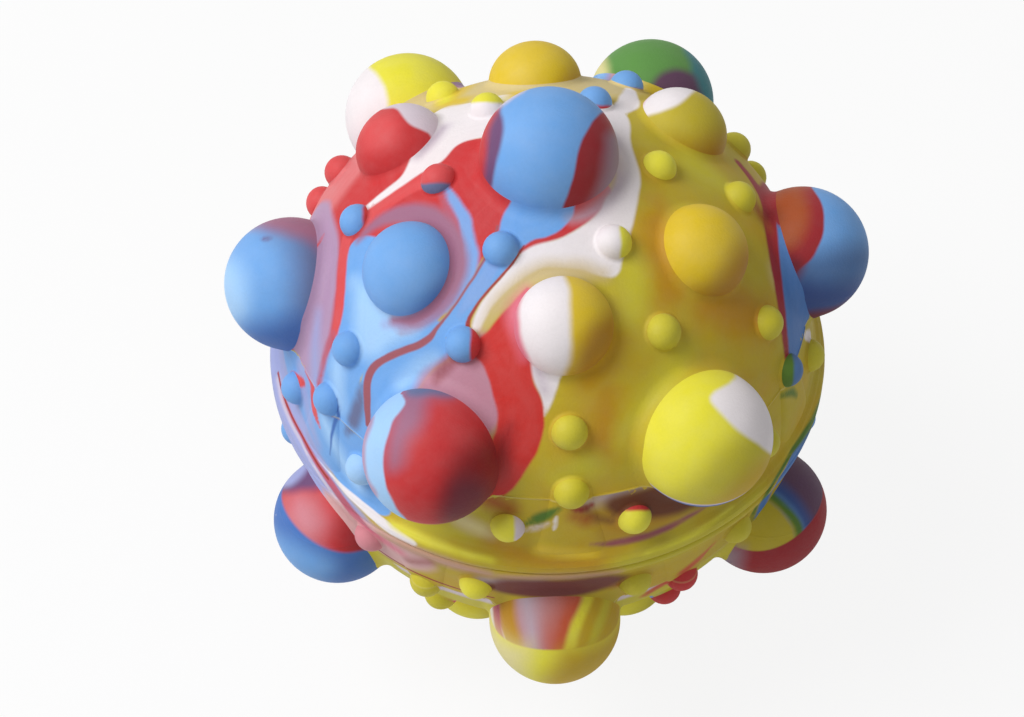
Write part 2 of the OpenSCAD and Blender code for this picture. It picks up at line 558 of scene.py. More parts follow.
class Value:
    """Output of a node, which adds, subtracts and multiplies into further Math nodes."""

    def __init__(self, nodes, socket):
        self.nodes = nodes
        self.socket = socket

    def __add__(self, other):
        return self.nodes.maths("ADD", self, other)

    def __radd__(self, other):
        return self.nodes.maths("ADD", other, self)

    def __sub__(self, other):
        return self.nodes.maths("SUBTRACT", self, other)

    def __rsub__(self, other):
        return self.nodes.maths("SUBTRACT", other, self)

    def __mul__(self, other):
        return self.nodes.maths("MULTIPLY", self, other)

    def __rmul__(self, other):
        return self.nodes.maths("MULTIPLY", other, self)

    def __abs__(self):
        return self.nodes.maths("ABSOLUTE", self)


class Nodes:
    """Node tree of a material or world, with what its finish uses more than once."""

    def __init__(self, owner):
        owner.use_nodes = True
        self.owner = owner
        self.tree = owner.node_tree
        self.tree.nodes.clear()
        self.kept = {}

    def node(self, kind, settings=None, inputs=None, output=0):
        """Adds a node with its settings and inputs, and returns one of its outputs."""
        made = self.tree.nodes.new(kind)
        for key, setting in (settings or {}).items():
            setattr(made, key, setting)
        for key, value in (inputs or {}).items():
            socket = made.inputs[key]
            if isinstance(value, Value):
                self.tree.links.new(value.socket, socket)
            else:
                socket.default_value = value
        return Value(self, made.outputs[output]) if len(made.outputs) else made

    def once(self, key, *what):
        """Output of a node that is added the first time only."""
        if key not in self.kept:
            self.kept[key] = self.node(*what)
        return self.kept[key]

    def part_of(self, value, channel):
        """One of an output's neighbours on the same node."""
        return Value(self, value.socket.node.outputs[channel])

    def maths(self, operation, *values):
        return self.node("ShaderNodeMath", {"operation": operation}, dict(enumerate(values)))

    def painted(self, name, channel):
        """Distance that is written on the piece's vertices."""
        values = self.once(name, "ShaderNodeAttribute", {"attribute_name": name}, None, "Vector")
        split = self.once((name, "split"), "ShaderNodeSeparateXYZ", None, {0: values})
        return self.part_of(split, channel)

    def place(self):
        """Place on the ball in millimetres."""
        spot = self.once("spot", "ShaderNodeTexCoord", None, None, "Object")
        return self.once("place", "ShaderNodeVectorMath", {"operation": "SCALE"}, {0: spot, "Scale": 1 / MM})

    def height(self):
        return self.once("height", "ShaderNodeSeparateXYZ", None, {0: self.place()}, "Z")

    def noise(self, size, detail=2, rough=0.5, channel=0):
        """Noise from -1 to 1 with lumps of a size in millimetres. Each channel differs."""
        key = (size, detail, rough)
        colour = self.once(
            key, "ShaderNodeTexNoise", {"noise_dimensions": "3D"},
            {"Vector": self.place(), "Scale": 1 / size, "Detail": detail, "Roughness": rough}, "Color")
        split = self.once((key, "split"), "ShaderNodeSeparateColor", None, {0: colour})
        return (self.part_of(split, channel) - 0.5) * 2

    def step(self, value, low, high):
        """Smooth step from 0 at low to 1 at high."""
        return self.node("ShaderNodeMapRange", {"interpolation_type": "SMOOTHSTEP"},
                         {"Value": value, "From Min": low, "From Max": high, "To Min": 0.0, "To Max": 1.0})

    def colour(self, pigment):
        return pigment if isinstance(pigment, Value) else linear(pigment)

    def mix(self, mask, under, over):
        return self.node("ShaderNodeMix", {"data_type": "RGBA"},
                         {0: mask, 6: self.colour(under), 7: self.colour(over)}, 2)

    def shade(self, pigment, value, saturation=1.0):
        return self.node("ShaderNodeHueSaturation", None,
                         {"Value": value, "Saturation": saturation, "Color": self.colour(pigment)})

    def silicone(self, coat, flash="cream", flash_amount=0.5):
        """Matte silicone: mottled pigment, fine grain, the mould line's flash and a soft broad gloss."""
        mottle = self.noise(2.6, 3, 0.6)
        grain = self.noise(0.3, 2, 0.6)
        tint = self.shade(coat, 1 + mottle * 0.03 + grain * 0.04, 1 + mottle * 0.05)
        specks = self.node("ShaderNodeTexVoronoi", {"feature": "F1"},
                           {"Vector": self.place(), "Scale": 0.14, "Randomness": 1.0}, "Distance")
        tint = self.mix((1 - self.step(specks, 0.012, 0.025)) * 0.4, tint, "white")
        line = 1 - self.step(abs(abs(self.height()) - PARTING_Z), 0.05, 0.17)
        tint = self.mix(line * flash_amount, tint, flash)
        rough = 0.56 + mottle * 0.05 + grain * 0.05
        bump = self.node("ShaderNodeBump", None,
                         {"Strength": 0.3, "Distance": 0.00006, "Height": grain + line * 1.5})
        shader = self.node("ShaderNodeBsdfPrincipled", None,
                           {"Base Color": tint, "Roughness": rough, "Normal": bump,
                            "Specular IOR Level": 0.22, "Sheen Weight": 0.04, "Sheen Roughness": 0.5})
        self.node("ShaderNodeOutputMaterial", None, {"Surface": shader})
        return self.owner


def new_finish(name):
    return Nodes(bpy.data.materials.new(name))


# Painted marbling of the halves, from the lowest layer to the highest: a pigment, the softness of its
# edge and its shapes. A shape is a closed outline of (angle, turn), or a stroke of (angle, turn, half
# width). The regions are the cap above the upper parting line, the belt between the two parting lines
# and the foot below the lower one, because the colours change where the mould parts.

# Some areas are partly or wholly painted shade; each is marked where it stands.
AREAS = [
    ("ochre", 5, {
        "cap": [
            # The cap's ochre strokes lie in the valleys at the feet of bubbles and nubs: mostly painted
            # shade, partly golden-brown pigment.
            [(24, 66, 1), (25, 56, 2), (29, 47, 2), (36, 40, 1.5)],
            [(44, 48, 2), (50, 56, 3), (56, 62, 2)],
            [(50, 10, 1), (58, 8, 2), (60, 3, 1)],
            [(35, 14, 0.8), (42, 13, 1.2), (46, 6, 1.2)],
        ],
        "belt": [[(78, 10, 2), (80, 20, 2)], [(84, -16, 1.2), (89, -6, 1.2), (90, 4, 1)]],
        "foot": [[(125, 60, 6), (130, 110, 6)]],
    }),
    ("dull_yellow", 4, {
        "cap": [
            [(48, 34, 1), (52, 24, 1.5), (56, 15, 1), (60, 12, 0.6)],
            [(64, 3, 1.5), (66, -3, 1)],
            [(26, 34, 1), (30, 30, 1.5), (36, 24, 1)],
            [(32, 100, 2), (44, 92, 1.5)],
        ],
        "belt": [
            [(86, -34, 1.2), (84, -28, 1.2), (83, -22, 0.8)],
            [(93, 12, 1.5), (94, 30, 1.5), (93, 44, 1)],
        ],
        "foot": [[(118, -60, 6), (124, 0, 8), (120, 50, 6)]],
    }),
    ("tan", 3, {
        "cap": [
            [(25, -150), (34, -146), (44, -142), (56, -146), (64, -170), (64, -194), (52, -210),
             (38, -214), (27, -208), (22, -190)],
            [(56, 76, 1.5), (60, 84, 2), (60, 96, 1.5)],
        ],
    }),
    ("red", 0.35, {
        "cap": [
            [(6, -20), (14, -30), (20, -36), (30, -38), (38, -42), (46, -46), (54, -54), (60, -58),
             (72, -62), (74, -100), (72, -132), (58, -141), (44, -141), (34, -140), (26, -138),
             (20, -126), (12, -122)],
            [(8, -30), (19, -26), (22, -16), (19.5, -10), (18.2, 0), (17.2, 9), (16.2, 22), (15.2, 37),
             (14, 60), (9, 60)],
        ],
        "belt": [[(69, -92), (74, -95), (80, -104), (86, -120), (84, -150), (69, -150)]],
    }),
    ("salmon", 3.5, {
        "cap": [[(44, -120), (50, -108), (56, -103), (62, -106), (66, -118), (60, -130), (50, -128)]],
        "belt": [[(72, -94, 0.8), (76, -100, 1.5)]],
    }),
    ("grey_mauve", 1.2, {
        "cap": [[(49, -94), (51.5, -102), (56, -110), (62, -112), (68, -100), (72, -84), (74, -72),
            (72, -66), (69, -65), (65, -66), (61, -67.5), (58, -69.5), (55.2, -72.5), (52.4, -76),
            (50.3, -81), (48.8, -87)]],
        "belt": [
            [(92, -100, 1), (97, -84, 2), (101, -70, 2.4), (105, -58, 2)],
            [(73, -86, 0.8), (77, -84, 0.8)],
        ],
    }),
    ("blue", 0.4, {
        "cap": [
            [(36, -41), (40, -41.5), (43, -42.5), (46, -45), (49, -49), (52, -51.5), (56, -54), (60, -54),
             (66, -51), (74, -50), (74, -64), (71, -67), (67, -67), (63, -66.5), (60, -66.5), (57, -67.5),
             (54.2, -69.5), (51.4, -72.6), (48.8, -78), (46.6, -83.5), (43.5, -85.5), (40, -83),
             (36, -74), (36, -55)],
            [(22, -36), (26, -36.4), (30, -36.9), (34, -37.6), (38, -38.8), (41, -40), (42, -37),
             (40, -31.5), (36.5, -31.4), (33, -30.4), (29.5, -28.6), (26, -25.5), (23, -22.4),
             (20.5, -20.5), (18.3, -14), (17.4, -5), (15.2, 7), (12.5, 20), (8, 26), (6, 0), (8, -44),
             (13, -43), (16, -40.5), (19, -37)],
            [(41, -41, 0.7), (45.8, -43.5, 1), (50.4, -49, 1), (55.4, -52, 1), (60, -51.6, 1),
             (65, -49, 1.2), (71, -48, 1.2)],
            [(40.5, -39), (42, -36), (44, -33.5), (46.5, -34), (49, -36.5), (52, -38), (58, -40),
             (66, -40), (75, -38), (75, -48), (68, -47.5), (64, -48.5), (60, -50.5), (56.5, -51),
             (54, -50), (51.5, -47.5), (48, -44), (45, -41), (43, -40)],
        ],
        "belt": [
            [(70, -66), (78, -66), (86, -74), (92, -88), (96, -110), (88, -118), (76, -106), (70, -90)],
            [(70, -88), (70, -40), (78, -39), (84, -38.5), (88, -40), (90, -46), (89, -52), (87.5, -58),
             (86.5, -66), (84, -74), (80, -86)],
        ],
    }),
    ("lavender_blue", 3, {
        "cap": [[(60, -76, 0.5), (65, -71, 1), (70, -67, 1)]],
        "belt": [[(72, -74, 1), (76, -70, 1.2), (80, -66, 0.8), (84, -62, 0.5)]],
    }),
    ("lavender_blue", 1.6, {
        "belt": [[(82, -72), (87, -60), (90.4, -52), (93, -46), (97, -43), (103, -42), (109, -46),
            (110, -70), (110, -100), (108, -128), (92, -128), (86, -112), (82, -90)]],
    }),
    ("pale_rose", 2, {
        "belt": [[(96, -56), (94.4, -46), (93.6, -38), (94.6, -31), (100, -29), (106, -34), (109.5, -44),
            (108, -58), (102, -62)]],
    }),
    ("stream", 0.7, {
        "cap": [
            [(21.5, -87, 0.3), (21, -80, 0.55), (20.6, -69, 0.7), (21, -58, 0.75), (23.5, -48, 0.85),
             (26, -42.5, 0.95), (29, -39.8, 0.9), (33, -39.8, 0.8), (37, -41, 0.6)],
            [(23, -33, 0.2), (26, -31.5, 0.7), (30, -32.5, 0.8), (34, -34, 0.7), (37, -35, 0.3)],
        ],
    }),
    ("light_blue", 3, {
        "cap": [
            [(47, -75), (49, -70), (52.5, -64), (56, -59), (54, -53), (49, -50), (45, -46), (42, -46),
             (42, -56), (44, -68)],
            [(47, -37, 0.3), (51, -41, 0.6), (55, -43, 0.6)],
            [(62, -62, 1), (68, -58, 1.2)],
        ],
        "belt": [[(76, -60, 0.8), (80, -54, 1), (84, -48, 1)]],
    }),
    ("lavender_blue", 1.6, {
        "cap": [[(37, -45, 0.2), (40, -47, 0.5), (44, -50, 0.5), (47, -56, 0.3)]],
        "belt": [[(84, -70, 0.3), (87, -62, 0.4), (88, -56, 0.2)]],
    }),
    ("slate", 1.4, {
        "cap": [[(61, -53, 0.3), (65, -52, 0.9), (69, -52, 1)]],
        "belt": [[(71, -52.5, 0.8), (73, -53, 0.3)]],
    }),
    ("bright_red", 0.5, {
        "cap": [
            [(23, -98, 1.5), (27, -96, 1.15), (31, -94.5, 1), (36, -92, 1.1), (40.5, -90.5, 1.25),
             (45, -90, 1.05), (47.3, -85, 0.9), (49.3, -78.8, 0.8), (51.8, -73.4, 0.75), (54.6, -70, 0.7),
             (57.5, -67.8, 0.55)],
            [(54, -97, 0.2), (56, -95, 0.35), (59, -94, 0.25)],
        ],
        "belt": [
            [(71.4, -71, 0.3), (71.8, -67.5, 0.45), (74, -66, 0.55), (76.6, -64.2, 0.6),
             (78.6, -61.4, 0.2)],
            [(83, -78.6, 0.4), (79.6, -76.4, 0.8), (77, -73.8, 0.85), (74.6, -70.8, 0.5)],
            [(73, -60.6, 0.2), (72.2, -58.6, 0.4), (71.6, -56.6, 0.2)],
        ],
        "foot": [[(109.4, -33, 0.3), (109.6, -25, 0.35), (110, -18, 0.3)]],
    }),
    ("raspberry", 0.9, {
        "cap": [
            [(22.8, -90, 0.2), (22.4, -80, 0.35), (22.5, -69, 0.5), (23.3, -60, 0.45), (25.3, -53, 0.25),
             (27.5, -47, 0.1)],
            [(58, -68, 0.4), (61, -67.5, 0.5), (65, -66.5, 0.5), (70, -65.5, 0.4)],
        ],
        "belt": [[(88.5, -80, 0.4), (89.5, -70, 0.7), (90.8, -62, 0.9), (93, -55, 1.1),
            (95.5, -50.5, 1.2), (98, -46, 0.8)]],
    }),
    ("plum", 1.3, {
        "cap": [
            [(43, -84.5, 0.3), (38, -86, 0.8), (33.5, -85, 1.1), (29.5, -81, 1.35), (26.8, -75, 1.35),
             (25.2, -67, 1.3), (25, -58, 1.25), (26.2, -50, 1.15), (28.6, -44.5, 1), (31.8, -41.8, 0.85),
             (35.5, -41.2, 0.65), (39, -42.8, 0.45), (43, -46, 0.3), (46, -50, 0.15)],
            [(27, -54, 0.8), (30, -47.5, 1), (34, -45, 1), (38, -45, 0.9), (42, -48, 0.8), (45, -54, 0.5)],
        ],
    }),
    ("white", 0.5, {
        "cap": [
            [(21.2, -19.7), (19.4, -12.5), (18.1, 0), (17.1, 9), (16.1, 22), (15, 37), (14, 50), (14, 60),
             (14, 80), (14, 100), (14, 115), (14, 150), (20, 165), (25, 158), (27, 145), (25, 134),
             (22, 125), (19.4, 115), (18.4, 105), (18.2, 95), (18.4, 85), (18.8, 75), (19.2, 65),
             (20, 55), (21.5, 45), (24, 36), (26, 30), (27.8, 26), (28, 22), (26.5, 16), (24.8, 10),
             (24, 0), (24, -8), (26, -15), (29, -21), (32.5, -24.6), (36, -26.4), (38.6, -27.2),
             (38.6, -29.4), (36, -29.9), (32, -28.9), (28.5, -27), (25, -24.4), (22.5, -21.5)],
            [(12, -140), (16, -130), (20.5, -121), (22.5, -108), (28, -100.6), (31, -97.8), (35.5, -95.4),
             (40.5, -94), (42.2, -95), (40.5, -96.2), (36, -98.7), (31.8, -103.5), (31, -110.5),
             (31, -118), (32, -125), (34, -132), (37, -140), (36.5, -147), (31, -152), (28, -170),
             (20, -180), (12, -170)],
            [(24, 140, 0.8), (30, 141, 1.1), (36, 145, 1.1), (41, 148, 0.7)],
            [(42, -11), (46, -9), (49, -7), (53, -6), (50, -4), (48, -3), (46, -2), (44, -1), (40, -4)],
        ],
        "belt": [
            [(88.6, -62, 0.15), (89.3, -55, 0.4), (89.6, -50, 0.7), (90.4, -45, 1), (91.5, -39, 1.1),
             (92.5, -34, 0.7)],
            [(75.6, -2.9, 0.1), (77.2, -3.2, 0.28), (79, -3.6, 0.1)],
            [(73, 74, 0.5), (77, 77, 0.8)],
        ],
    }),
    ("lavender", 1.2, {
        "belt": [
            [(79.2, -9, 0.1), (78.4, -7, 0.3), (77.4, -4.8, 0.1)],
            [(88, -84, 0.3), (91.5, -72, 0.35), (93.5, -63, 0.35), (96, -56, 0.3)],
        ],
        "foot": [
            [(111.6, -40, 0.9), (111.7, -26, 1.1), (111.7, -16, 1)],
            [(111.5, 9, 0.8), (111.5, 20, 0.9), (111.5, 30, 0.5)],
        ],
    }),
    ("ash", 2.6, {
        "cap": [
            # This ring round the crown bubble's foot is partly pale lavender pigment, partly painted shade
            # of the soft valley and crease there.
            [(14, 14, 0.2), (14.2, 30, 0.5), (14.2, 55, 0.7), (14.2, 80, 0.7), (14.6, 105, 0.6),
             (16, 122, 0.3)],
            [(29, -113, 0.3), (28, -122, 0.7), (28, -132, 0.5)],
            [(44, -8, 0.3), (48, -6, 0.3)],
        ],
        "belt": [
            [(72.8, 3.5, 0.4), (71.9, 8, 0.6), (71.4, 12, 0.5), (71.2, 16, 0.3)],
            [(99, -18, 0.8), (98.5, -12, 0.9), (97, -6, 0.4)],
        ],
    }),
    ("pale_tan", 2.6, {
        "cap": [[(27, 19, 0.4), (25.3, 10, 0.9), (24.8, 0, 1.1), (25, -8, 1.1), (26.8, -15, 1),
            (29.6, -20, 0.85), (32.5, -23, 0.7), (36, -25, 0.5), (38.4, -26.4, 0.25)]],
        "belt": [[(77, -26, 0.5), (80, -22, 1.1), (82, -17, 0.6)]],
    }),
    ("cream", 3, {
        "cap": [[(22, 160, 1), (24, -178, 1.2), (26, -160, 1)]],
        "belt": [[(80, -23, 0.2), (81, -19, 0.4)]],
    }),
    ("pinkish_tan", 1.8, {
        "belt": [
            [(96.5, -42, 0.6), (95.5, -34, 1), (95.2, -26, 1.1), (95.4, -17, 0.8)],
            [(95.6, -14, 0.4), (94.8, -6, 0.5), (94.8, 2, 0.5), (95.4, 10, 0.3)],
        ],
    }),
    ("golden", 2, {
        "cap": [[(24, 172, 1), (27, -172, 1.4)], [(44, -158, 1.4), (40, -150, 1.6), (35, -152, 1.2)]],
        "belt": [[(85, -6, 0.8), (87, 4, 0.8)]],
        "foot": [[(135, 30, 4), (140, 80, 4)]],
    }),
    ("dusty_pink", 1.8, {
        "cap": [[(38.6, -26), (41, -29), (44.5, -32.4), (48, -36), (52, -39), (58, -38), (60, -28),
            (58, -18), (52, -15), (46, -17), (42, -22)]],
    }),
    ("brown_red", 1.4, {
        "cap": [[(42.5, -29.5, 0.3), (45, -32, 0.6), (48.5, -34, 0.6), (51, -35, 0.3)]],
    }),
    ("scarlet", 0.45, {
        "cap": [[(28, -13.5), (31, -18), (35, -22.4), (38, -24.8), (41, -27.4), (43, -27.2), (44.5, -24),
            (47, -21.2), (50, -19.2), (53, -17.5), (57, -17), (61, -19), (66, -22), (72, -24), (73, -17),
            (70, -13), (67, -11), (64, -9), (60, -7), (56, -6), (52, -6), (49, -7), (46, -9), (42, -10),
            (36, -11), (31, -12)]],
    }),
    ("vermilion", 1.2, {
        "belt": [[(102, 33.5, 0.3), (105, 30.5, 0.7), (108.5, 27, 0.9)]],
        "foot": [[(110, 25, 0.9), (113, 21.5, 1), (116, 19, 0.6)]],
    }),
    ("rose", 2.4, {
        "cap": [[(29, -13.5, 0.5), (33, -15.5, 1.1), (37, -14, 1), (41, -12, 0.4)]],
        "belt": [[(98, -50, 0.6), (99, -44, 0.9), (100, -38, 0.8)]],
        "foot": [[(112, -14, 0.8), (114, -6, 1)]],
    }),
    ("dark_red", 3, {
        "cap": [
            # This stroke is painted shade: the shadow side of the front-left bubble's collar.
            [(56, -14, 0.2), (60, -15, 0.9), (65, -17, 1.4), (70, -19, 1.2)],
            [(43, -26, 0.5), (41.5, -27, 0.5)],
            [(70, 64, 0.2), (64, 70, 0.2)],
        ],
        "belt": [
            # This stroke lies in the brown patch under the parting line and is partly painted shade, like
            # that patch.
            [(75, 14, 0.2), (76.5, 18, 0.45), (79, 24, 0.6), (81, 29, 0.2)],
            [(98, -30, 0.2), (103, -36, 0.3)],
        ],
    }),
    ("denim", 0.7, {
        "cap": [[(54, 95), (54.6, 86), (56.4, 77.4), (59.6, 71), (63.6, 66.4), (68, 63), (72, 60.6),
            (74, 76), (72, 100)]],
        "belt": [[(94, 80, 0.5), (95.2, 67, 0.8), (96, 61, 0.95), (98, 56.6, 0.95), (99.8, 53.4, 0.9),
            (102.6, 50.4, 0.8), (106, 48.6, 0.5)]],
    }),
    ("crimson", 0.7, {
        "cap": [
            [(51, 112, 0.6), (54.4, 101, 1.2), (53.4, 88, 1.3), (54.8, 79, 1.2), (57.6, 73, 1),
             (61.6, 67.4, 0.8), (65.8, 63.8, 0.65), (70.4, 61, 0.4)],
            [(58, 100, 3), (62, 104, 3)],
        ],
        "belt": [[(74, 0.5, 0.15), (74.3, 2, 0.45), (73.4, 4, 0.3)]],
    }),
    ("brown_red", 0.9, {
        "belt": [[(84, 4, 0.15), (84.8, 9, 0.5), (85.2, 14, 0.55), (84.8, 20, 0.5), (84, 27, 0.4),
            (82.6, 35, 0.3), (80.5, 42, 0.15)]],
    }),
    # Brown-maroon patch under the parting line, below and left of the front-right bubble: partly pigment,
    # partly painted shade where the belt turns in under the line.
    ("brown", 1.8, {
        "belt": [
            [(72, 9), (72, 17), (74, 24), (79, 31), (82.4, 28), (80.8, 18), (77.5, 10), (74.5, 7)],
            [(74, 3, 0.2), (76, 4, 0.3), (78, 8, 0.3)],
        ],
    }),
    ("rust", 3, {
        "cap": [[(48, 96, 0.8), (52, 90, 0.6)]],
        "belt": [
            [(71.5, -22, 0.8), (72.5, -17, 1.1), (74, -13, 0.8)],
            [(76, 1, 0.4), (77, 3, 0.6)],
            [(100, 6, 0.5), (102, 10, 0.6)],
        ],
    }),
    # Maroon band just under the seam rim: partly maroon pigment, partly painted shadow where the body turns
    # in under the rim.
    ("maroon_rim_shadow", 2, {
        "belt": [[(96.6, -13), (95.8, -6), (95.6, 0), (96.2, 8), (99, 12), (102, 9), (104.5, 3),
            (105.5, -5), (104.5, -14), (102, -18), (99, -16)]],
    }),
    ("yellow", 1.8, {
        "cap": [[(41, -150, 0.8), (45, -153, 1)]],
        "belt": [
            [(89.5, -38, 0.7), (89.6, -32, 1), (89.4, -25, 0.9), (90, -17, 0.5)],
            [(91, 16, 0.2), (91, 26, 0.5), (90, 36, 0.3)],
        ],
    }),
    ("leaf", 0.9, {
        "belt": [
            [(73.6, -2.6, 0.3), (75, -5, 0.75), (76.4, -7.2, 0.7), (77.4, -9, 0.3)],
            [(91, 80, 0.4), (92.6, 68, 0.6), (93.4, 62.5, 0.75), (93.8, 57.5, 0.75), (95.6, 52, 0.75),
             (98.4, 48.6, 0.75), (102, 47.4, 0.6), (106, 47, 0.3)],
            [(73, 56, 0.3), (76, 60, 0.5), (79, 62, 0.3)],
        ],
    }),
]

# Threads, each of which crosses the surface as a fine line.
THREADS = [
    ("brown_red", 0.3, {
        "cap": [[(19, -38.5, 0.1), (22, -36.4, 0.13), (26, -36.3, 0.14), (30, -36.8, 0.14),
            (34, -37.6, 0.14), (38, -38.8, 0.15), (41, -40.2, 0.22), (43.5, -41, 0.36),
            (45.8, -42.8, 0.42), (48, -45.4, 0.42), (50.4, -48.2, 0.42), (52.8, -50.4, 0.45),
            (55.4, -52, 0.5), (57.6, -52.3, 0.52), (60, -51.6, 0.54), (63, -50, 0.52), (66, -48.4, 0.4)]],
    }),
    ("brick", 0.25, {
        "cap": [[(21, -20.5, 0.1), (23.5, -22.8, 0.14), (26.5, -25.8, 0.15), (30, -28.6, 0.15),
            (33.5, -30.3, 0.15), (37, -31.2, 0.2), (39, -30.6, 0.3)]],
        "belt": [
            [(87.6, -84, 0.15), (88.8, -74, 0.25), (89.8, -66, 0.3), (91.4, -59, 0.3)],
            [(108.3, -45, 0.2), (108.5, -34, 0.22), (108.6, -25, 0.22), (108.8, -18, 0.2)],
        ],
    }),
    # Dark blue streak trailing down from a nub: partly blue pigment, partly the nub's painted shadow.
    ("deep_blue", 0.4, {
        "cap": [[(69, -58, 0.1), (70.6, -57, 0.3)]],
        "belt": [[(71, -57, 0.3), (74, -57, 0.28), (78, -57, 0.2), (82, -57, 0.08)]],
    }),
]


def catmull(p0, p1, p2, p3, t):
    """Point of a smooth curve through four points, between the second and the third."""
    return 0.5 * (2 * p1 + (p2 - p0) * t + (2 * p0 - 5 * p1 + 4 * p2 - p3) * t ** 2
                  + (3 * p1 - p0 - 3 * p2 + p3) * t ** 3)


def smooth_path(stroke):
    """Stroke as closely spaced points on the body, with their half widths and their directions."""
    ends = [np.array([*direction(a, t), w]) for a, t, w in stroke]
    ends = [2 * ends[0] - ends[1], *ends, 2 * ends[-1] - ends[-2]]
    points = []
    for four in zip(ends, ends[1:], ends[2:], ends[3:]):
        count = max(2, int(np.linalg.norm(four[2][:3] - four[1][:3]) * BODY_R / STROKE_STEP))
        points += [catmull(*four, i / count) for i in range(count)]
    points.append(ends[-2])
    points = np.array(points)
    spots = points[:, :3] / np.linalg.norm(points[:, :3], axis=1)[:, None] * BODY_R
    heading = np.gradient(spots, axis=0)
    return spots, np.maximum(points[:, 3], 0), heading


def smooth_outline(outline):
    """Closed outline as closely spaced points of the same kind."""
    corners = np.array(outline, float)
    count = len(corners)
    points = []
    for i in range(count):
        four = [corners[(i + k) % count] for k in (-1, 0, 1, 2)]
        points += [catmull(*four, j / OUTLINE_STEPS) for j in range(OUTLINE_STEPS)]
    return np.array(points + [points[0]])


def inside_outline(places, outline):
    """Whether each flat place lies inside a closed outline."""
    x, y = places[:, 0], places[:, 1]
    inside = np.zeros(len(places), bool)
    for (x0, y0), (x1, y1) in zip(outline, outline[1:]):
        if y0 != y1:
            crosses = (y0 > y) != (y1 > y)
            inside ^= crosses & (x < (x1 - x0) * (y - y0) / (y1 - y0) + x0)
    return inside


def nearest(spots, path):
    """Distance from each spot to the nearest point of a path, and that point's number."""
    best = np.full(len(spots), np.inf)
    which = np.zeros(len(spots), int)
    square = (spots ** 2).sum(1)
    for start in range(0, len(path), 64):
        part = path[start:start + 64]
        away = square[:, None] + (part ** 2).sum(1)[None] - 2 * spots @ part.T
        near = away.argmin(1)
        value = away[np.arange(len(spots)), near]
        closer = value < best
        best[closer] = value[closer]
        which[closer] = near[closer] + start
    return np.sqrt(np.maximum(best, 0)), which


def distance_to(places, path):
    """Distance from each place to a path of short straight pieces."""
    best, which = nearest(places, path)
    for before, after in ((-1, 0), (0, 1)):
        a = path[np.clip(which + before, 0, len(path) - 1)]
        b = path[np.clip(which + after, 0, len(path) - 1)]
        along = b - a
        length = np.maximum((along ** 2).sum(1), 1e-12)
        t = np.clip(((places - a) * along).sum(1) / length, 0, 1)
        best = np.minimum(best, np.linalg.norm(places - a - t[:, None] * along, axis=1))
    return best


def regions(real):
    """Which places lie in each region."""
    return {"cap": real[:, 2] > PARTING_Z, "foot": real[:, 2] < -PARTING_Z,
            "belt": abs(real[:, 2]) <= PARTING_Z}


def angles_of(spots):
    """Angle down from the upper pole and turn from the front, in degrees."""
    angle = np.degrees(np.arccos(np.clip(spots[:, 2] / BODY_R, -1, 1)))
    return angle, np.degrees(np.arctan2(spots[:, 0], -spots[:, 1]))


def on_body(angle, turn):
    """Places on the plain ball at angles and turns."""
    a = np.radians(angle)
    t = np.radians(turn)
    return np.stack([np.sin(a) * np.sin(t), -np.sin(a) * np.cos(t), np.cos(a)], 1) * BODY_R


def outline_field(spots, flat, path):
    """Distance outside a closed outline of (angle, turn), below zero inside it."""
    middle = flat[:, 1].mean()
    angle, turn = angles_of(spots)
    turn = (turn - middle + 180) % 360 - 180 + middle
    inside = inside_outline(np.stack([angle, turn], 1), flat)
    away = distance_to(spots, path)
    return np.where(inside, -away, away)


def shapes_field(spots, shapes):
    """Distance outside the nearest of some outlines and strokes."""
    field = np.full(len(spots), float(BEYOND))
    for shape in shapes:
        closed = len(shape[0]) == 2
        if closed:
            flat = smooth_outline(shape)
            path = on_body(flat[:, 0], flat[:, 1])
        else:
            path, width, _ = smooth_path(shape)
        middle = path.mean(0)
        reach = np.linalg.norm(path - middle, axis=1).max() + NEAR
        rows = np.flatnonzero(((spots - middle) ** 2).sum(1) < reach ** 2)
        if len(rows) == 0:
            continue
        if closed:
            away = outline_field(spots[rows], flat, path)
        else:
            away, which = nearest(spots[rows], path)
            away -= width[which]
        field[rows] = np.minimum(field[rows], away)
    return field


def warped(spots, amount):
    """Places moved by smooth noise, so that drawn edges waver together and leave no gaps."""
    moved = [Vector(spot) + amount * (noise.noise_vector(Vector(spot) / WARP_SIZE)
                                      + FINE_WARP * noise.noise_vector(Vector(spot) / (WARP_SIZE / 3)))
             for spot in spots]
    return np.array(moved)


def hidden_depth(spots, region):
    """How far a place lies within the side that the photograph doesn't show, in millimetres."""
    angle, turn = angles_of(spots)
    if region == "foot":
        front = np.clip((FOOT_FRONT - abs(turn)) / FOOT_FADE, 0, 1)
        return np.radians(angle - FOOT_HIDDEN - FOOT_SEEN_MORE * front) * BODY_R
    if region == "cap":
        return HORIZON - spots @ np.array(BACK) + CAP_WAVE * np.sin(np.radians(BORDER_WAVES * turn))
    around = np.mod(turn, 360)
    beyond = np.minimum(around - BELT_HIDDEN[0], BELT_HIDDEN[1] - around)
    beyond += BELT_WAVE * np.sin(np.radians(BORDER_WAVES * angle))
    return np.radians(beyond) * BODY_R * np.sin(np.radians(angle))


def region_field(spots, region, shapes):
    """Distance outside the painted area. The hidden side carries the same strokes, mirrored."""
    angle, turn = angles_of(spots)
    if region == "foot":
        far = region_field(on_body(180 - angle, STEP * 3 + HALF_TURN - turn), "cap", shapes)
    else:
        far = shapes_field(on_body(angle, MIRROR_TURN[region] - turn), shapes.get(region, []))
    near = shapes_field(spots, shapes.get(region, []))
    return np.minimum(near, np.maximum(far, -hidden_depth(spots, region)))


def area_field(spots, real, shapes):
    """Distance outside the painted area in millimetres, below zero inside it."""
    field = np.full(len(spots), float(BEYOND))
    for region, inside in regions(real).items():
        field[inside] = region_field(spots[inside], region, shapes)
    return field


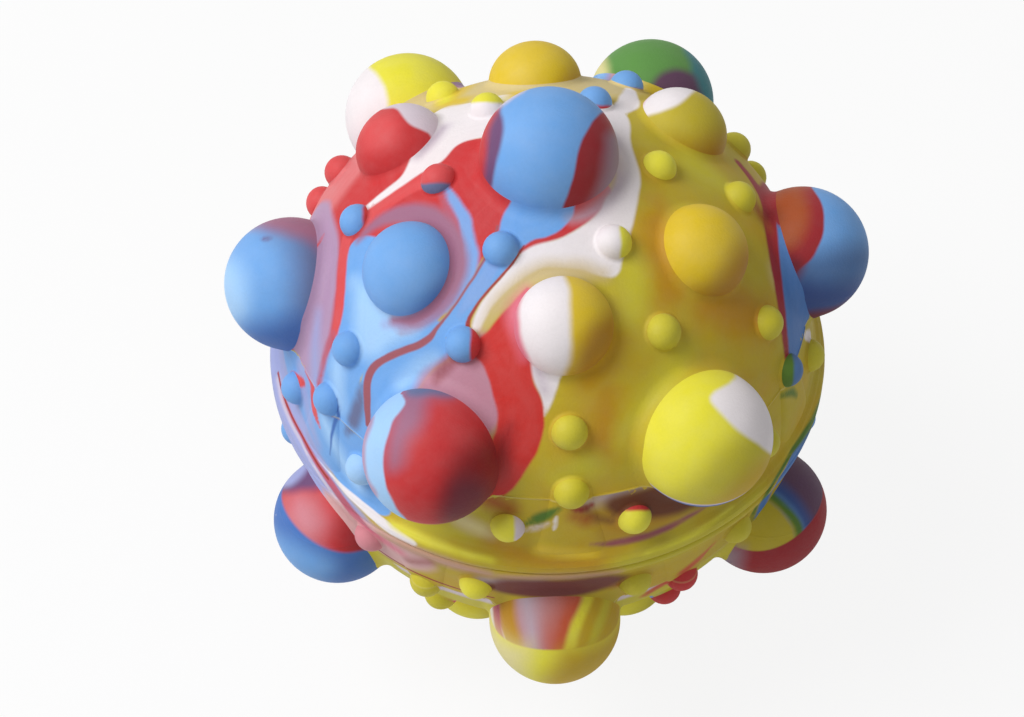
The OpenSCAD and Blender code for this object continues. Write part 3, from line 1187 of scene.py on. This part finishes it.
def thread_field(spots, real, strokes):
    """Distance to the side of the nearest thread, plain distance and half width."""
    side = np.full(len(spots), float(BEYOND))
    plain = np.full(len(spots), float(BEYOND))
    wide = np.zeros(len(spots))
    for region, inside in regions(real).items():
        numbers = np.flatnonzero(inside)
        for stroke in strokes.get(region, []):
            path, width, heading = smooth_path(stroke)
            away, which = nearest(spots[numbers], path)
            closer = away < plain[numbers]
            rows = numbers[closer]
            found = which[closer]
            across = np.cross(path[found], heading[found])
            across /= np.linalg.norm(across, axis=1)[:, None]
            side[rows] = ((spots[rows] - path[found]) * across).sum(1)
            plain[rows] = away[closer]
            wide[rows] = width[found]
    return side, plain, wide


def carried_back(real):
    """Places brought back along the photograph's view to the plain ball on which the strokes were read."""
    toward = CAMERA_PLACE - real
    toward /= np.linalg.norm(toward, axis=1)[:, None]
    height = np.linalg.norm(real, axis=1)
    facing = (toward * real).sum(1) / height
    shift = (height - BODY_R) / np.maximum(facing, FACING_LEAST) * np.clip(facing / FACING_LEAST, 0, 1)
    spots = real - toward * shift[:, None]
    return spots * (BODY_R / np.linalg.norm(spots, axis=1)[:, None])


def paint_fields(piece):
    """Writes the distances to the painted areas and threads on the piece's vertices."""
    real = places_of(piece)
    spots = warped(carried_back(real), BODY_WARP)
    spots *= BODY_R / np.linalg.norm(spots, axis=1)[:, None]
    write_fields(piece, "areas", [area_field(spots, real, shapes) for _, _, shapes in AREAS])
    threads = [field for _, _, strokes in THREADS for field in thread_field(spots, real, strokes)]
    write_fields(piece, "threads", threads)


def marbled():
    """The halves' marbling: painted areas and threads with wavering edges over an olive ground."""
    f = new_finish("marbled_silicone")
    slow = f.noise(8, 2, 0.5)
    paint = f.mix(f.step(slow, -0.4, 0.45), "moss", "olive")
    cloud = f.noise(3.5, 3, 0.55, channel=1)
    paint = f.mix(f.step(cloud, 0.05, 0.7) * 0.3, paint, "ochre")
    paint = f.mix(f.step(cloud, 0.05, -0.7) * 0.25, paint, "dull_yellow")
    waver = [f.noise(3.4, 1, 0.5, channel=i) * 0.3 for i in range(3)]
    for i, (pigment, soft, _) in enumerate(AREAS):
        field = f.painted(f"areas_{i // 3}", i % 3)
        mask = 1 - f.step(field + waver[i % 3] * soft * 0.3, -soft / 2, soft / 2)
        streak = f.node("ShaderNodeTexNoise", {"noise_dimensions": "1D"},
                        {"W": field * 0.8 + waver[i % 3] * 2 + i * 7.0, "Scale": 1.0, "Detail": 2.0}, "Fac")
        paint = f.mix(mask, paint, f.shade(pigment, 0.98 + streak * 0.04, 1.03 - streak * 0.06))
    for i, (pigment, soft, _) in enumerate(THREADS):
        side, plain, wide = (f.painted(f"threads_{i}", k) for k in range(3))
        mask = 1 - f.step(abs(side) - wide, -soft / 2, soft / 2)
        gate = 1 - f.step(plain - wide, 0.5, 0.8)
        paint = f.mix(mask * gate, paint, pigment)
    return f.silicone(paint, "cream", 0.3)


# Coats of the bubbles. Each has a ground, the pigment of its parting line, and patches with the
# softness of their edges. A patch is a closed outline in bubble radii, to the right and upwards as
# the camera sees the bubble, or None for all of it. One with a rise lies below the parting line
# raised by that many millimetres.

# Several patches stand for light: darker patches on the side away from the lamps are painted shade, and
# lighter ones on the lit side are painted highlights; each is marked where it stands.
COATS = {
    "crown": ("blue", "blue", [
        ("dark_plum", 0.7, [(-0.72, 0.72), (-0.69, 0.62), (-0.665, 0.46), (-0.66, 0.3), (-0.68, 0.1),
            (-0.73, -0.1), (-0.79, -0.35), (-0.84, -0.6), (-0.9, -1.4), (-1.4, -1.4), (-1.4, 0.8)]),
        ("red", 1.2, [(-0.76, 0.7), (-0.82, 0.45), (-0.86, 0.3), (-0.9, 0), (-0.95, -0.35), (-1.1, -1.4),
            (-1.4, -1.4), (-1.4, 0.7)]),
        # Pale patch on the top-left edge, where the light falls: a painted highlight.
        ("lavender", 0.9, [(-1.4, 0.62), (-0.88, 0.62), (-0.66, 0.7), (-0.5, 0.82), (-0.32, 1.0),
            (-0.3, 1.4), (-1.4, 1.4)]),
        ("crimson", 0.45, [(0.85, 0.7), (0.7, 0.56), (0.58, 0.38), (0.48, 0.2), (0.4, 0), (0.35, -0.2),
            (0.3, -0.42), (0.24, -0.62), (0.14, -0.88), (0.05, -1.05), (-0.05, -1.4), (1.4, -1.4),
            (1.4, 1)]),
        ("mauve", 2.2, [(1.4, 0.5), (0.9, 0.32), (0.82, 0.05), (0.76, -0.25), (0.66, -0.55), (0.5, -0.9),
            (0.35, -1.4), (1.4, -1.4)]),
    ]),
    "front_right": ("yellow", "yellow", [
        # The dull yellow and olive patches on the lower right, away from the light, are painted shade.
        ("dull_yellow", 4, [(-0.6, -1.2), (-0.2, -0.6), (0.2, -0.1), (0.7, 0.1), (1.3, 0), (1.2, -1.3)]),
        ("olive", 3, [(-0.2, -1.3), (0.3, -0.75), (0.7, -0.35), (1.3, -0.2), (1.3, -1.3)]),
        ("white", 0.7, [(0.05, 0.5), (0.08, 0.62), (0.3, 0.75), (0.5, 0.95), (0.7, 1.4), (1.4, 1.4),
            (1.4, -0.4), (0.95, -0.24), (0.7, -0.08), (0.5, 0.06), (0.3, 0.24)]),
        ("lavender", 0.2, None, 0.9),
        ("deep_blue", 0.3, None, 0.4),
    ]),
    "side_right": ("blue", "steel", [
        # The steel and navy patches on the lower side, away from the light, are painted shade.
        ("steel", 4, [(-0.5, -0.2), (0.2, 0), (0.9, 0.1), (1.4, 0), (1.4, -1.4), (-0.6, -1.4)]),
        ("navy", 3, [(-0.6, -0.5), (-0.2, -0.45), (0.4, -0.5), (0.9, -0.45), (1.3, -0.6), (1.2, -1.4),
            (-0.6, -1.4)]),
        ("crimson", 0.4, [(-1.4, 1.4), (0.05, 1.3), (0.12, 0.95), (0.22, 0.7), (0.24, 0.5), (0.2, 0.25),
            (0.12, 0.05), (0, -0.15), (-0.25, -0.4), (-0.4, -0.55), (-1.4, -0.9)]),
        ("rust", 2.2, [(-1.4, 1.3), (-0.1, 1.1), (-0.02, 0.8), (0, 0.5), (-0.1, 0.2), (-0.3, 0),
            (-0.7, -0.1), (-1.4, 0)]),
        ("maroon", 2, [(-1.4, 0), (-0.6, 0), (-0.3, -0.1), (-0.1, -0.25), (-0.4, -0.6), (-1.4, -0.8)]),
        ("maroon", 1.2, [(-0.5, -1.4), (-0.3, -0.95), (0.1, -0.9), (0.5, -0.83), (0.85, -0.68),
            (1.4, -0.9), (1.4, -1.4)]),
    ]),
    "back_right": ("green", "green", [
        ("teal", 1.4, [(0.55, 0.1), (0.6, 0.5), (0.55, 0.9), (1.4, 1.3), (1.4, -0.2), (0.9, -0.2)]),
        ("purple", 1.4, [(-0.2, -0.6), (-0.05, 0.15), (0.25, 0.42), (0.55, 0.4), (0.72, 0.15),
            (0.9, -0.7)]),
        ("cream", 1.6, [(-1.4, 1.2), (-0.8, 0.8), (-0.68, 0.4), (-0.6, -0.4), (-1.4, -1)]),
    ]),
    "back_left": ("yellow", "cream", [
        ("white", 0.9, [(-1.4, 1.4), (-0.75, 1), (-0.6, 0.75), (-0.4, 0.5), (-0.3, 0.25), (-0.3, -0.4),
            (-0.4, -1.2), (-1.4, -1.2)]),
    ]),
    "side_left": ("blue", "blue", [
        # The light blue patch on the far left, where the light falls, is a painted highlight.
        ("light_blue", 4, [(-1.3, 0.4), (-0.8, 0.3), (-0.6, -0.1), (-0.7, -0.5), (-1.3, -0.6)]),
        ("slate", 6, [(-0.3, 0.9), (0.05, 0.6), (0.15, 0.2), (0.2, -0.3), (0.3, -0.8), (1.4, -0.9),
            (1.4, 1.3), (-0.2, 1.3)]),
        ("deep_blue", 4, [(-0.9, -1.3), (-0.8, -0.75), (-0.2, -0.55), (0.3, -0.6), (0.6, -1.3)]),
        ("plum", 2.2, [(-1.2, 1.4), (-0.8, 0.9), (-0.4, 0.82), (0, 0.72), (0.4, 0.55), (0.6, 0.2),
            (0.72, -0.2), (1.4, -0.3), (1.4, 1.4)]),
        ("dark_plum", 0.9, [(-0.37, 0.65), (-0.3, 0.67), (-0.22, 0.65), (-0.3, 0.62)]),
    ]),
    "front_left": ("red", "yellow", [
        # The dark red and maroon patches on the lower right are partly pigment and partly painted shade.
        ("dark_red", 4, [(0.3, -0.1), (0.6, 0.15), (1.2, 0.3), (1.2, -1.2), (0.1, -1.2), (0.15, -0.6)]),
        ("maroon", 3, [(0.25, -0.45), (0.5, -0.3), (0.8, -0.5), (0.7, -1), (0.2, -0.95)]),
        ("plum", 3, [(-0.5, 0.85), (-0.6, 0.3), (-0.58, -0.15), (-0.4, -0.1), (-0.3, 0.2), (-0.12, 0.42),
            (0, 0.8), (0.35, 0.9), (0.4, 1.4), (-0.6, 1.4)]),
        ("slate", 1.2, [(-0.35, 0.88), (0, 0.86), (0.35, 0.86), (0.4, 1.4), (-0.4, 1.4)]),
        ("light_blue", 0.4, [(-0.4, 0.85), (-0.56, 0.45), (-0.66, 0), (-0.64, -0.4), (-0.5, -0.7),
            (-0.42, -1), (-1.4, -1.2), (-1.4, 1.2)]),
        ("grey_mauve", 0.6, [(-0.84, 0.6), (-0.93, 0.1), (-0.92, -0.3), (-0.78, -0.65), (-1.4, -1),
            (-1.4, 0.8)]),
    ]),
    "white_golden": ("white", "white", [
        ("golden", 1.1, [(0.1, 1.4), (0.11, 0.6), (0.13, 0), (0.12, -0.6), (0.05, -1.4), (1.4, -1.4),
            (1.4, 1.4)]),
        # The amber patch on the lower right is painted shade.
        ("amber", 3, [(0.3, -0.4), (0.7, 0.1), (1.4, 0.3), (1.2, -1.4), (0.1, -1.4), (0.2, -0.8)]),
        ("rose", 0.8, [(-1.4, 1), (-0.78, 0.85), (-0.88, 0.4), (-0.89, 0), (-0.84, -0.3), (-0.67, -0.7),
            (-0.55, -1.05), (-0.6, -1.4), (-1.4, -1.2)]),
    ]),
    "golden": ("golden", "golden", [
        # The amber patch on the lower right is painted shade.
        ("amber", 4, [(0.1, -0.7), (0.45, -0.3), (0.8, 0.1), (1.3, 0.2), (1.3, -1), (0.2, -1.3),
            (-0.4, -1)]),
    ]),
    "olive_white": ("moss", "moss", [
        # The amber patch on the lower side is painted shade.
        ("amber", 5, [(-0.4, -0.5), (0.2, -0.4), (0.9, -0.2), (0.9, -1.2), (-0.6, -1.2)]),
        ("white", 0.7, [(-1.4, 0.3), (-0.9, 0.25), (-0.7, 0.27), (-0.2, 0.42), (0.15, 0.7), (0.35, 0.95),
            (0.4, 1.4), (-1.4, 1.4)]),
        ("rose", 0.8, [(-1.4, 0.45), (-0.95, 0.45), (-0.76, 0.66), (-0.6, 0.9), (-0.8, 1.2), (-1.4, 1.2)]),
    ]),
    "red_white": ("red", "red", [
        # The lighter red patch on the upper left, where the light falls, is a painted highlight.
        ("bright_red", 2.5, [(-0.8, 0.5), (-0.3, 0.7), (0, 0.4), (-0.2, 0), (-0.7, -0.1)]),
        ("lavender", 0.45, [(-0.6, 1.4), (-0.45, 0.86), (-0.15, 0.79), (0, 0.65), (0.2, 0.42),
            (0.45, 0.3), (0.62, 0.2), (0.66, 0.05), (0.6, -0.2), (0.75, -0.6), (1.4, -0.6), (1.4, 1.4)]),
    ]),
    "blue": ("blue", "blue", [
        # The deep blue patch on the lower right is painted shade.
        ("deep_blue", 3.5, [(0.2, -1.3), (0.5, -0.5), (1.3, 0), (1.3, -1.3)]),
    ]),
    "low_right": ("purple", "purple", [
        ("navy", 1.8, [(-0.2, 0.7), (0.1, 0.55), (0.4, 0.3), (0.62, 0), (0.75, -0.35), (0.85, -0.6),
            (0.6, -0.9), (-0.5, 0.2)]),
        ("steel", 0.8, [(0, 0.42), (0.28, 0.22), (0.48, -0.02), (0.6, -0.3), (0.68, -0.6), (0.55, -0.6),
            (-0.1, 0.3)]),
        ("leaf", 0.7, [(-0.1, 0.46), (0.15, 0.25), (0.4, 0), (0.52, -0.2), (0.6, -0.6), (0.5, -0.7),
            (0.3, -0.1), (0.05, 0.15), (-0.2, 0.3)]),
        ("moss", 1, [(-0.5, 0.4), (0.02, 0.2), (0.3, -0.1), (0.42, -0.35), (0.45, -0.8), (0.2, -0.9),
            (-0.5, -0.6)]),
        ("crimson", 0.3, None, 0),
        ("mauve", 3, [(-1.3, 0.1), (-0.62, -0.2), (-0.4, -0.6), (-0.5, -1.2), (-1.3, -1.2)], 0),
    ]),
    "low_left": ("red", "red", [
        # The pink patch is a painted highlight.
        ("pink", 5, [(-0.75, 0.1), (-0.6, 0.4), (-0.3, 0.3), (-0.1, 0), (-0.3, -0.25), (-0.6, -0.2)]),
        ("crimson", 4, [(0.1, 0.8), (0.2, 0.3), (0.1, -0.2), (0.4, -0.6), (1.4, -0.6), (1.4, 1)]),
        ("dark_plum", 1.6, [(-1.4, 0.5), (-0.8, 0.44), (-0.5, 0.5), (-0.1, 0.62), (0.1, 1.4), (-1.4, 1.4)]),
        ("lavender_blue", 1.1, [(-1.4, 0.6), (-0.85, 0.52), (-0.6, 0.62), (-0.42, 0.9), (-0.4, 1.4),
            (-1.4, 1.4)]),
        ("deep_blue", 0.5, None, 0.9),
        ("blue", 4, [(-1.2, -0.2), (-0.9, -0.95), (-0.3, -1), (0, -0.7), (-0.3, -0.45)], 0.9),
    ]),
    "low_front": ("warm_pink", "warm_pink", [
        # The ash patch in the dusty pink band, on the lit left side, is a painted highlight.
        ("ash", 3, [(-0.62, 0.7), (-0.5, 0.1), (-0.35, -0.5), (-0.2, -0.5), (-0.32, 0.2), (-0.3, 0.7)]),
        ("vermilion", 5, [(0.1, 0.7), (0.02, 0.2), (-0.14, -0.3), (-0.1, -0.8), (0.2, -0.6), (0.35, 0.7)]),
        ("ochre", 1.3, [(-0.9, 0.6), (-0.64, 0.6), (-0.6, 0.1), (-0.46, -0.6), (-0.75, -0.7), (-0.84, 0)]),
        ("white", 0.3, [(-1.4, 1), (-0.9, 1), (-0.91, 0.2), (-0.74, -0.5), (-1.4, -0.9)]),
        ("raspberry", 0.3, [(-0.95, 0.6), (-0.86, 0.6), (-0.83, 0), (-0.68, -0.55), (-0.75, -0.6),
            (-0.92, 0)]),
        ("olive", 1, [(0.5, 0.7), (0.46, 0.4), (0.25, -0.1), (0.12, -0.8), (1.4, -0.8), (1.4, 0.7)]),
        ("vermilion", 1.4, [(0.3, 0.7), (0.28, 0.4), (0.06, -0.1), (-0.04, -0.8), (0.08, -0.8),
            (0.18, -0.1), (0.38, 0.4), (0.42, 0.7)]),
        ("yellow", 0.9, [(0.42, 0.7), (0.4, 0.4), (0.18, -0.1), (0.06, -0.8), (0.2, -0.8), (0.34, -0.1),
            (0.56, 0.4), (0.6, 0.7)]),
        ("dull_yellow", 1, [(0.76, 0.7), (0.7, 0.3), (0.5, -0.2), (0.35, -0.8), (0.5, -0.8), (0.66, -0.2),
            (0.84, 0.3), (0.9, 0.7)]),
        ("yellow", 0.3, None, 0),
        ("olive", 4, [(-0.2, -1.4), (0, -0.6), (0.3, -0.3), (1.4, 0), (1.4, -1.4)], 0),
        ("cream", 4, [(-1.4, 0), (-0.5, -0.2), (-0.45, -0.8), (-0.5, -1.4), (-1.4, -1.4)], 0),
    ]),
    "yellow": ("yellow", "cream", [
        # The dull yellow patch on the lower right is painted shade.
        ("dull_yellow", 3, [(0.2, -1.3), (0.4, -0.5), (1.3, 0), (1.3, -1.3)]),
    ]),
}

# Coat of each bubble. Hidden ones wear the coats turned their own way.
SEEN = {
    "upper_crown_bubble": "crown",
    "upper_large_bubble_1": "front_right",
    "upper_large_bubble_2": "side_right",
    "upper_large_bubble_3": "back_right",
    "upper_large_bubble_4": "back_left",
    "upper_large_bubble_5": "side_left",
    "upper_large_bubble_6": "front_left",
    "upper_small_bubble_1": "white_golden",
    "upper_small_bubble_2": "golden",
    "upper_small_bubble_3": "olive_white",
    "upper_small_bubble_4": "golden",
    "upper_small_bubble_5": "red_white",
    "upper_small_bubble_6": "blue",
    "lower_large_bubble_1": "low_right",
    "lower_large_bubble_5": "low_left",
    "lower_large_bubble_6": "low_front",
    "lower_small_bubble_1": "yellow",
    "lower_small_bubble_6": "yellow",
}
UNSEEN = {
    "lower_crown_bubble": "front_right",
    "lower_large_bubble_2": "back_right",
    "lower_large_bubble_3": "side_left",
    "lower_large_bubble_4": "back_left",
    "lower_small_bubble_2": "olive_white",
    "lower_small_bubble_3": "blue",
    "lower_small_bubble_4": "golden",
    "lower_small_bubble_5": "red_white",
}


def flat_field(flat, outline, r):
    """Distance outside a closed outline in bubble radii, in millimetres, below zero inside it."""
    path = smooth_outline(outline)
    inside = inside_outline(flat, path)
    away = distance_to(flat, path) * r
    return np.where(inside, -away, away)


def write_fields(piece, name, fields):
    """Writes fields on the piece's vertices, three to an attribute."""
    while len(fields) % 3:
        fields.append(np.full(len(piece.data.vertices), float(BEYOND)))
    for i in range(0, len(fields), 3):
        attribute = piece.data.attributes.new(f"{name}_{i // 3}", "FLOAT_VECTOR", "POINT")
        attribute.data.foreach_set("vector", np.stack(fields[i:i + 3], 1).astype(np.float32).ravel())


def places_of(piece):
    """Places of the piece's vertices in millimetres."""
    real = np.zeros(len(piece.data.vertices) * 3)
    piece.data.vertices.foreach_get("co", real)
    return real.reshape(-1, 3) / MM


def below_parting(real, centre, rise):
    """Distance above a bubble's raised parting line, which bows down at its sides on the lower half."""
    if centre[2] > 0:
        return real[:, 2] - PARTING_Z - rise
    level = np.array([centre[1], -centre[0], 0]) / math.hypot(centre[0], centre[1])
    return real[:, 2] + PARTING_Z - rise + PARTING_BOW * ((real - centre) @ level) ** 2


def paint_coat(piece, coat, centre, r, across, upwards):
    """Writes the distances to the patches of a bubble's coat on its vertices."""
    real = places_of(piece)
    out = warped(real, BUBBLE_WARP) - centre
    flat = np.stack([out @ np.array(across), out @ np.array(upwards)], 1) / r
    fields = []
    for _, _, outline, *rise in COATS[coat][2]:
        field = np.full(len(real), -float(BEYOND)) if outline is None else flat_field(flat, outline, r)
        if rise:
            field = np.maximum(field, below_parting(real, centre, *rise))
        fields.append(field)
    write_fields(piece, "coat", fields)


def coated(name):
    """A bubble's finish: its patches over its ground, with thin clouds."""
    f = new_finish(f"{name}_coat")
    ground, flash, patches = COATS[name]
    cloud = f.noise(5, 3, 0.55)
    paint = f.shade(ground, 1 + cloud * 0.05, 1 - cloud * 0.06)
    tone = [f.noise(2.8, 1, 0.5, channel=i) * 0.22 for i in range(3)]
    for i, (pigment, soft, *_) in enumerate(patches):
        mask = 1 - f.step(f.painted(f"coat_{i // 3}", i % 3), -soft / 2, soft / 2)
        paint = f.mix(mask, paint, f.shade(pigment, 1 + tone[(i + 1) % 3] * 0.2))
    return f.silicone(paint, flash, 0.5 if name == "front_left" else 0)


# Nubs of the upper half (True) and the lower half (False), ring by ring from the pole: a pigment, or
# two pigments and the side that has the second.
NUBS = {
    True: [
        ["white yellow right", "yellow", "blue red below", "white yellow top", "bright_red slate below",
         "blue"],
        ["dull_yellow", "dull_yellow", "blue red below", "yellow", "blue red right", "blue red right"],
        ["dull_yellow", "dull_yellow", "dull_yellow", "golden", "bright_red", "blue"],
        ["dull_yellow", "leaf steel right", "dull_yellow", "golden", "bright_red", "blue"],
        # The first seam nub's lavender right side is a painted highlight on a yellow nub.
        ["yellow lavender right", "yellow red top", "dull_yellow", "dull_yellow", "dull_yellow", "green",
         "golden", "blue", "red", "red", "blue red right", "light_blue"],
    ],
    False: [
        ["yellow", "blue", "white", "red", "yellow", "green"],
        ["blue", "white", "yellow", "golden", "green", "red"],
        ["yellow", "blue", "red", "red", "dull_yellow", "white"],
        ["blue", "red", "yellow", "red", "dull_yellow", "yellow"],
        ["green", "yellow", "blue", "yellow", "blue", "blue", "dull_yellow", "dull_yellow", "yellow", "pink",
         "blue", "red"],
    ],
}

# Each side as right, up and how far out its pigment begins, in nub radii.
SIDES = {"right": (1, 0, 0.35), "below": (0, -1, 0.15), "top": (0, 1, 0.35)}

# Finishes that are made already, by name.
FINISHES = {}


def nub_finish(colours):
    """Finish of a nub, made once for each pigment or pair of pigments."""
    names = colours.split()[:2]
    key = "_".join(names) + "_nub"
    if key not in FINISHES:
        f = new_finish(key)
        paint = f.shade(names[0], 1 + f.noise(4, 2, 0.5) * 0.05)
        if len(names) == 2:
            edge = f.painted("coat_0", 0) + f.noise(1.8, 1, 0.5) * 0.2
            paint = f.mix(1 - f.step(edge, -0.25, 0.25), paint, names[1])
        FINISHES[key] = f.silicone(paint, "cream", 0.2)
    return FINISHES[key]


def paint_nub(piece, colours, centre):
    """Writes how far each vertex of a nub lies outside its second pigment."""
    if len(colours.split()) == 3:
        right, up, offset = SIDES[colours.split()[2]]
        toward = right * np.array(RIGHT) + up * np.array(UP)
        write_fields(piece, "coat", [offset * NUB_R - (places_of(piece) - np.array(centre)) @ toward])


# Building the pieces

def build_half(name, upper, parts):
    """Joins a half's shell with its collars, pads and nubs, and paints it."""
    large, small, nub_piece, nub_foot, pad = parts
    shell = turned_ring(name, shell_outline(), HALF_SEGMENTS)
    cut_holes(shell)
    pads = []
    collars = [copy_of(large, Matrix.Identity(4))]
    for i in range(6):
        collars.append(copy_of(large, aim(LARGE_ANGLE, STEP / 2 + STEP * i)))
        collars.append(copy_of(small, aim(SMALL_ANGLE, STEP * i)))
        pads.append(copy_of(pad, Matrix.Rotation(math.radians(STEP * i), 4, "Z")))
    collars += [copy_of(nub_foot, aim(angle, turn)) for _, _, angle, turn in nub_places()]
    for piece in collars:
        settle(piece)
    lift = Matrix.Identity(4) if upper else turned_over(Matrix.Identity(4))
    pieces = [shell, *collars, *pads]
    for piece in pieces:
        piece.data.transform(lift)
        piece.data.materials.clear()
        piece.data.materials.append(FINISHES["marbled"])
    for ring, number, angle, turn in nub_places():
        colours = NUBS[upper][ring][number]
        piece = copy_of(nub_piece, aim(angle, turn))
        settle(piece)
        piece.data.transform(lift)
        piece.data.materials.append(nub_finish(colours))
        middle = Vector((0, 0, NUB_CENTRE * body_radius(angle) / CAP_R))
        paint_nub(piece, colours, lift @ aim(angle, turn) @ middle)
        pieces.append(piece)
    half = join(pieces)
    half.name = name
    edit_all(half)
    for side in (-1, 1):
        height = (PARTING_Z + side * LINE_HALF_WIDTH) * (1 if upper else -1)
        bpy.ops.mesh.select_all(action="SELECT")
        bpy.ops.mesh.bisect(plane_co=(0, 0, height * MM), plane_no=(0, 0, 1), use_fill=False)
    bpy.ops.object.mode_set(mode="OBJECT")
    select(half)
    bpy.ops.object.shade_smooth_by_angle(angle=math.radians(HALF_SMOOTH))
    paint_fields(half)
    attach(half, "body")
    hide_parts("upper_shell" if upper else "lower_shell")


def build_halves():
    """Models what repeats on a half once, and builds both halves from it."""
    parts = (collar("large_collar", LARGE_NECK, None, LARGE_FILLET, LARGE_SPREAD, LARGE_SEGMENTS),
             collar("small_collar", SMALL_NECK, None, SMALL_FILLET, SMALL_SPREAD, SMALL_SEGMENTS),
             nub(),
             collar("nub_foot", NUB_R, NUB_CENTRE, NUB_FILLET, NUB_SPREAD, NUB_SEGMENTS),
             tapered_pad())
    build_half("upper_half", True, parts)
    build_half("lower_half", False, parts)
    for piece in parts:
        remove(piece)


def build_bubbles():
    """Gives each bubble its own skin, from the half at its foot to the bubble at its apex, painted with its
    coat.
    """
    sizes = {
        "large": (dome("large_dome", LARGE_R, LARGE_CENTRE, LARGE_CREASE, LARGE_WALL, LARGE_SEGMENTS),
                  LARGE_R, LARGE_CENTRE, collar_top(LARGE_NECK, LARGE_FILLET)),
        "small": (dome("small_dome", SMALL_R, SMALL_CENTRE, SMALL_CREASE, SMALL_WALL, SMALL_SEGMENTS,
                       SMALL_FLATTENING),
                  SMALL_R, SMALL_CENTRE, collar_top(SMALL_NECK, SMALL_FILLET)),
    }
    for name, place, size in bubble_places():
        model, r, height, top = sizes[size]
        skin = copy_of(model, place)
        skin.name = name.replace("bubble", "skin")
        coat = SEEN.get(name) or UNSEEN[name]
        centre = np.array(place @ Vector((0, 0, height)))
        turned = place.to_3x3()
        across, upwards = (RIGHT, UP) if name in SEEN else (turned.col[0], turned.col[1])
        paint_coat(skin, coat, centre, r, across, upwards)
        if coat not in FINISHES:
            FINISHES[coat] = coated(coat)
        skin.data.materials.append(FINISHES[coat])
        select(skin)
        bpy.ops.object.shade_smooth_by_angle(angle=math.radians(SKIN_SMOOTH))
        foot = place @ Vector((0, 0, (top - FOOT_FIXED) * MM))
        apex = place @ Vector((0, 0, (height + r) * MM))
        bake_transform(skin)
        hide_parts(name)
    for model, *_ in sizes.values():
        remove(model)


def light_scene():
    """White world, dimmer as a light than it looks to the camera or in a gloss, and the lamps."""
    scene = bpy.context.scene
    scene.view_settings.view_transform = "Standard"
    scene.world = bpy.data.worlds.new("studio")
    f = Nodes(scene.world)
    camera, glossy, through = (f.node("ShaderNodeLightPath", output=f"Is {kind} Ray")
                               for kind in ("Camera", "Glossy", "Transmission"))
    seen = f.maths("MAXIMUM", f.maths("MAXIMUM", camera, glossy), through)
    strength = f.node("ShaderNodeMapRange", None, {"Value": seen, "To Min": WORLD_LIGHT, "To Max": 1})
    white = f.node("ShaderNodeBackground", None, {"Color": (1, 1, 1, 1), "Strength": strength})
    f.node("ShaderNodeOutputWorld", None, {"Surface": white})
    for name, toward, away, size, power in LAMPS:
        data = bpy.data.lights.new(name, "AREA")
        data.shape = "DISK"
        data.size = size
        data.energy = power
        lamp = bpy.data.objects.new(name, data)
        aimed = (toward[0] * RIGHT + toward[1] * UP + toward[2] * BACK).normalized()
        facing = aimed.to_track_quat("Z", "Y").to_matrix().to_4x4()
        lamp.matrix_world = Matrix.Translation(aimed * away) @ facing
        scene.collection.objects.link(lamp)


def lay_floor():
    """Pale floor that is nearly white to the camera and keeps a soft shadow."""
    deselect()
    bpy.ops.mesh.primitive_plane_add(size=FLOOR_SIZE, location=(0, 0, cad_box[0][2]))
    floor = bpy.context.active_object
    floor.name = "floor"
    f = new_finish("floor")
    diffuse = f.node("ShaderNodeBsdfDiffuse", None, {"Color": (FLOOR_TONE, FLOOR_TONE, FLOOR_TONE, 1)})
    glow = f.node("ShaderNodeEmission")
    factor = f.node("ShaderNodeLightPath", output="Is Camera Ray") * FLOOR_GLOW
    both = f.node("ShaderNodeMixShader", None, {0: factor, 1: diffuse, 2: glow})
    f.node("ShaderNodeOutputMaterial", None, {"Surface": both})
    floor.data.materials.append(f.owner)


put_camera()
light_scene()
FINISHES["marbled"] = marbled()
build_halves()
build_bubbles()
lay_floor()
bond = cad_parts["bond_ring"].data.materials
bond.clear()
bond.append(nub_finish("white"))
